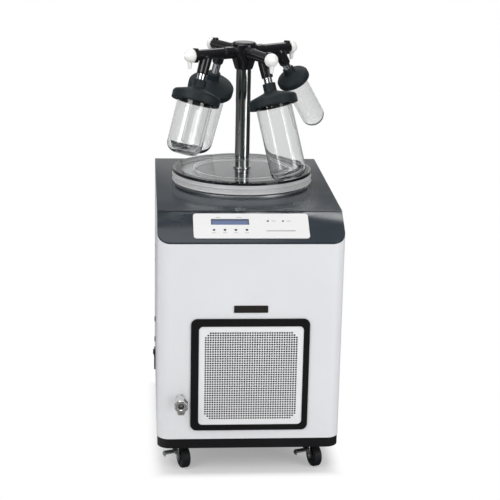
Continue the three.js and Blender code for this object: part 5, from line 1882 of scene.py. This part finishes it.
@dataclass
class Studio:
    """Camera, floor, surroundings and lamps, in metres from the middle of the front panel's foot."""

    eye: tuple[float, float, float] = (-0.23015, -2.8738, 1.34352)
    yaw: float = 4.48
    pitch: float = -15.91
    roll: float = 1.19
    lens: float = 102.306
    light_level: float = 0.5
    floor_half: float = 8

    def build(self) -> None:
        """Makes the studio."""
        origin = cabinet_origin()
        scene = bpy.context.scene
        scene.view_settings.view_transform = "Standard"
        self.camera(scene, origin)
        self.surroundings(scene)
        self.floor()
        for lamp in LAMPS:
            lamp.hang(origin)

    def camera(self, scene: bpy.types.Scene, origin: Points) -> None:
        """The camera, looking along its yaw and pitch and turned about its own axis by its roll.

        Args:
            scene: The scene that it is for.
            origin: The point that its place is measured from.
        """
        yaw, pitch, roll = map(math.radians, (self.yaw, self.pitch, self.roll))
        ahead = Vector((math.sin(yaw) * math.cos(pitch), math.cos(yaw) * math.cos(pitch), math.sin(pitch)))
        right = Vector((math.cos(yaw), -math.sin(yaw), 0))
        up = right.cross(ahead)
        side = math.cos(roll) * right + math.sin(roll) * up
        top = -math.sin(roll) * right + math.cos(roll) * up
        data = bpy.data.cameras.new("camera")
        data.lens = self.lens
        data.sensor_width = 36
        held = bpy.data.objects.new("camera", data)
        turn = Matrix((side, top, -ahead)).transposed().to_4x4()
        held.matrix_world = Matrix.Translation(Vector(origin) + Vector(self.eye)) @ turn
        scene.collection.objects.link(held)
        scene.camera = held

    def surroundings(self, scene: bpy.types.Scene) -> None:
        """A white room: as it is to the camera, shaded for gloss and glass, and a plain level for light.

        Gloss sees a backdrop of middling brightness behind, a faint ceiling, and a dark room in front.
        Glass sees a bright backdrop that falls off to the sides.

        Args:
            scene: The scene that it is for.
        """
        world = bpy.data.worlds.new("studio")
        world.use_nodes = True
        scene.world = world
        wiring = Wiring(world.node_tree)
        back = world.node_tree.nodes["Background"]
        ray = wiring.node("ShaderNodeLightPath")
        way = wiring.node("ShaderNodeSeparateXYZ",
                          {0: wiring.node("ShaderNodeTexCoord").outputs["Generated"]})
        across, onward, upward = way.outputs
        behind = wiring.span(onward, 0.3, 0.85, 0.0, 0.72, soft=True)
        behind = wiring.maths("MULTIPLY", behind, wiring.span(upward, 0.19, 0.262, 1.0, 0.2, soft=True))
        above = wiring.span(upward, 0.2, 0.7, 0.0, 0.12, soft=True)
        mirrored = wiring.maths("ADD", wiring.maths("MAXIMUM", behind, above), 0.05)
        sideways = wiring.maths("ABSOLUTE", across)
        through = wiring.span(sideways, 0.3, 0.75, 0.78, 0.06, soft=True)
        through = wiring.maths("MULTIPLY", through, wiring.span(onward, -0.5, 0.3, 0.35, 1.0, soft=True))
        through = wiring.maths("MAXIMUM", through, wiring.span(upward, 0.5, 0.9, 0.0, 0.8, soft=True))
        level = self.light_level
        for kind, value in (("Is Glossy Ray", mirrored), ("Is Transmission Ray", through),
                            ("Is Camera Ray", 1.0)):
            level = wiring.switched(ray.outputs[kind], level, value)
        back.inputs["Color"].default_value = (1, 1, 1, 1)
        wiring.feed(back.inputs["Strength"], level)

    def floor(self) -> None:
        """A pale floor that keeps the machine's shadow and runs out into white.

        To gloss it is pale on the left, middling behind, and dark in front and on the right.
        Seen through glass it is a little darker than white, and dark at its sides and in front.
        """
        data = bpy.data.meshes.new("floor")
        half = self.floor_half
        data.from_pydata([(-half, -half, 0), (half, -half, 0), (half, half, 0), (-half, half, 0)], [],
                         [(0, 1, 2, 3)])
        held = bpy.data.objects.new("floor", data)
        bpy.context.scene.collection.objects.link(held)
        material = bpy.data.materials.new("studio_floor")
        material.use_nodes = True
        wiring = Wiring(material.node_tree)
        shader = material.node_tree.nodes["Principled BSDF"]
        out = material.node_tree.nodes["Material Output"]
        ray = wiring.node("ShaderNodeLightPath")
        place = wiring.node("ShaderNodeTexCoord").outputs["Object"]
        axes = wiring.node("ShaderNodeSeparateXYZ", {0: place})
        aside = wiring.maths("ABSOLUTE", axes.outputs[0])
        seen = wiring.maths("MAXIMUM", ray.outputs["Is Camera Ray"], ray.outputs["Is Transmission Ray"])
        reach = wiring.node("ShaderNodeVectorMath", {0: place}, operation="LENGTH").outputs["Value"]
        bearing = wiring.maths("ARCTAN2", axes.outputs[0], wiring.maths("MULTIPLY", axes.outputs[1], -1.0))
        pale = wiring.span(bearing, -0.8, -0.25, 0.46, 0.1, soft=True)
        pale = wiring.maths("MULTIPLY", pale, wiring.span(bearing, -2.1, -0.95, 0.55, 1.0, soft=True))
        pale = wiring.maths("MULTIPLY", pale, wiring.span(reach, 2.6, 3.2, 1.0, 0.5, soft=True))
        colour = wiring.blend(seen, (0.78, 0.78, 0.78), (0.95, 0.95, 0.95))
        colour = wiring.blend(ray.outputs["Is Glossy Ray"], colour, wiring.grey(pale))
        wiring.feed(shader.inputs["Base Color"], colour)
        wiring.feed(shader.inputs["Roughness"], 0.9)
        wiring.feed(shader.inputs["Specular IOR Level"], 0.0)
        through = wiring.maths("MULTIPLY", wiring.span(aside, 1.2, 3.2, 0.78, 0.1, soft=True),
                               wiring.span(axes.outputs[1], -0.8, 0.3, 0.3, 1.0, soft=True))
        bright = wiring.switched(ray.outputs["Is Transmission Ray"], 1.0, through)
        glow = wiring.node("ShaderNodeEmission", {"Color": (1.0, 1.0, 1.0), "Strength": bright})
        beside = wiring.span(aside, 0.18, 0.222, 0.3, 1.0, soft=True)
        before = wiring.span(wiring.maths("ABSOLUTE", axes.outputs[1]), 0.262, 0.3, 0.3, 1.0, soft=True)
        white = wiring.maths("MULTIPLY", wiring.maths("MAXIMUM", beside, before), seen)
        mix = wiring.node("ShaderNodeMixShader")
        wiring.feed(mix.inputs[0], white)
        material.node_tree.links.new(shader.outputs[0], mix.inputs[1])
        material.node_tree.links.new(glow.outputs[0], mix.inputs[2])
        material.node_tree.links.new(mix.outputs[0], out.inputs["Surface"])
        data.materials.append(material)


def main() -> None:
    """Builds the studio and dresses the machine, one sub-assembly after another."""
    logging.basicConfig(level=logging.INFO, format="%(name)s: %(message)s")
    Studio().build()
    paints = Paints()
    for assembly in (CabinetShell(paints), GrilleInlet(paints), ControlFascia(paints), DrainCoupling(paints),
                     ChamberTop(paints), Manifold(paints), Casters(paints), Works(paints)):
        assembly.build()
        LOG.info("%s is finished", type(assembly).__name__)


if __name__ == "__main__":
    main()
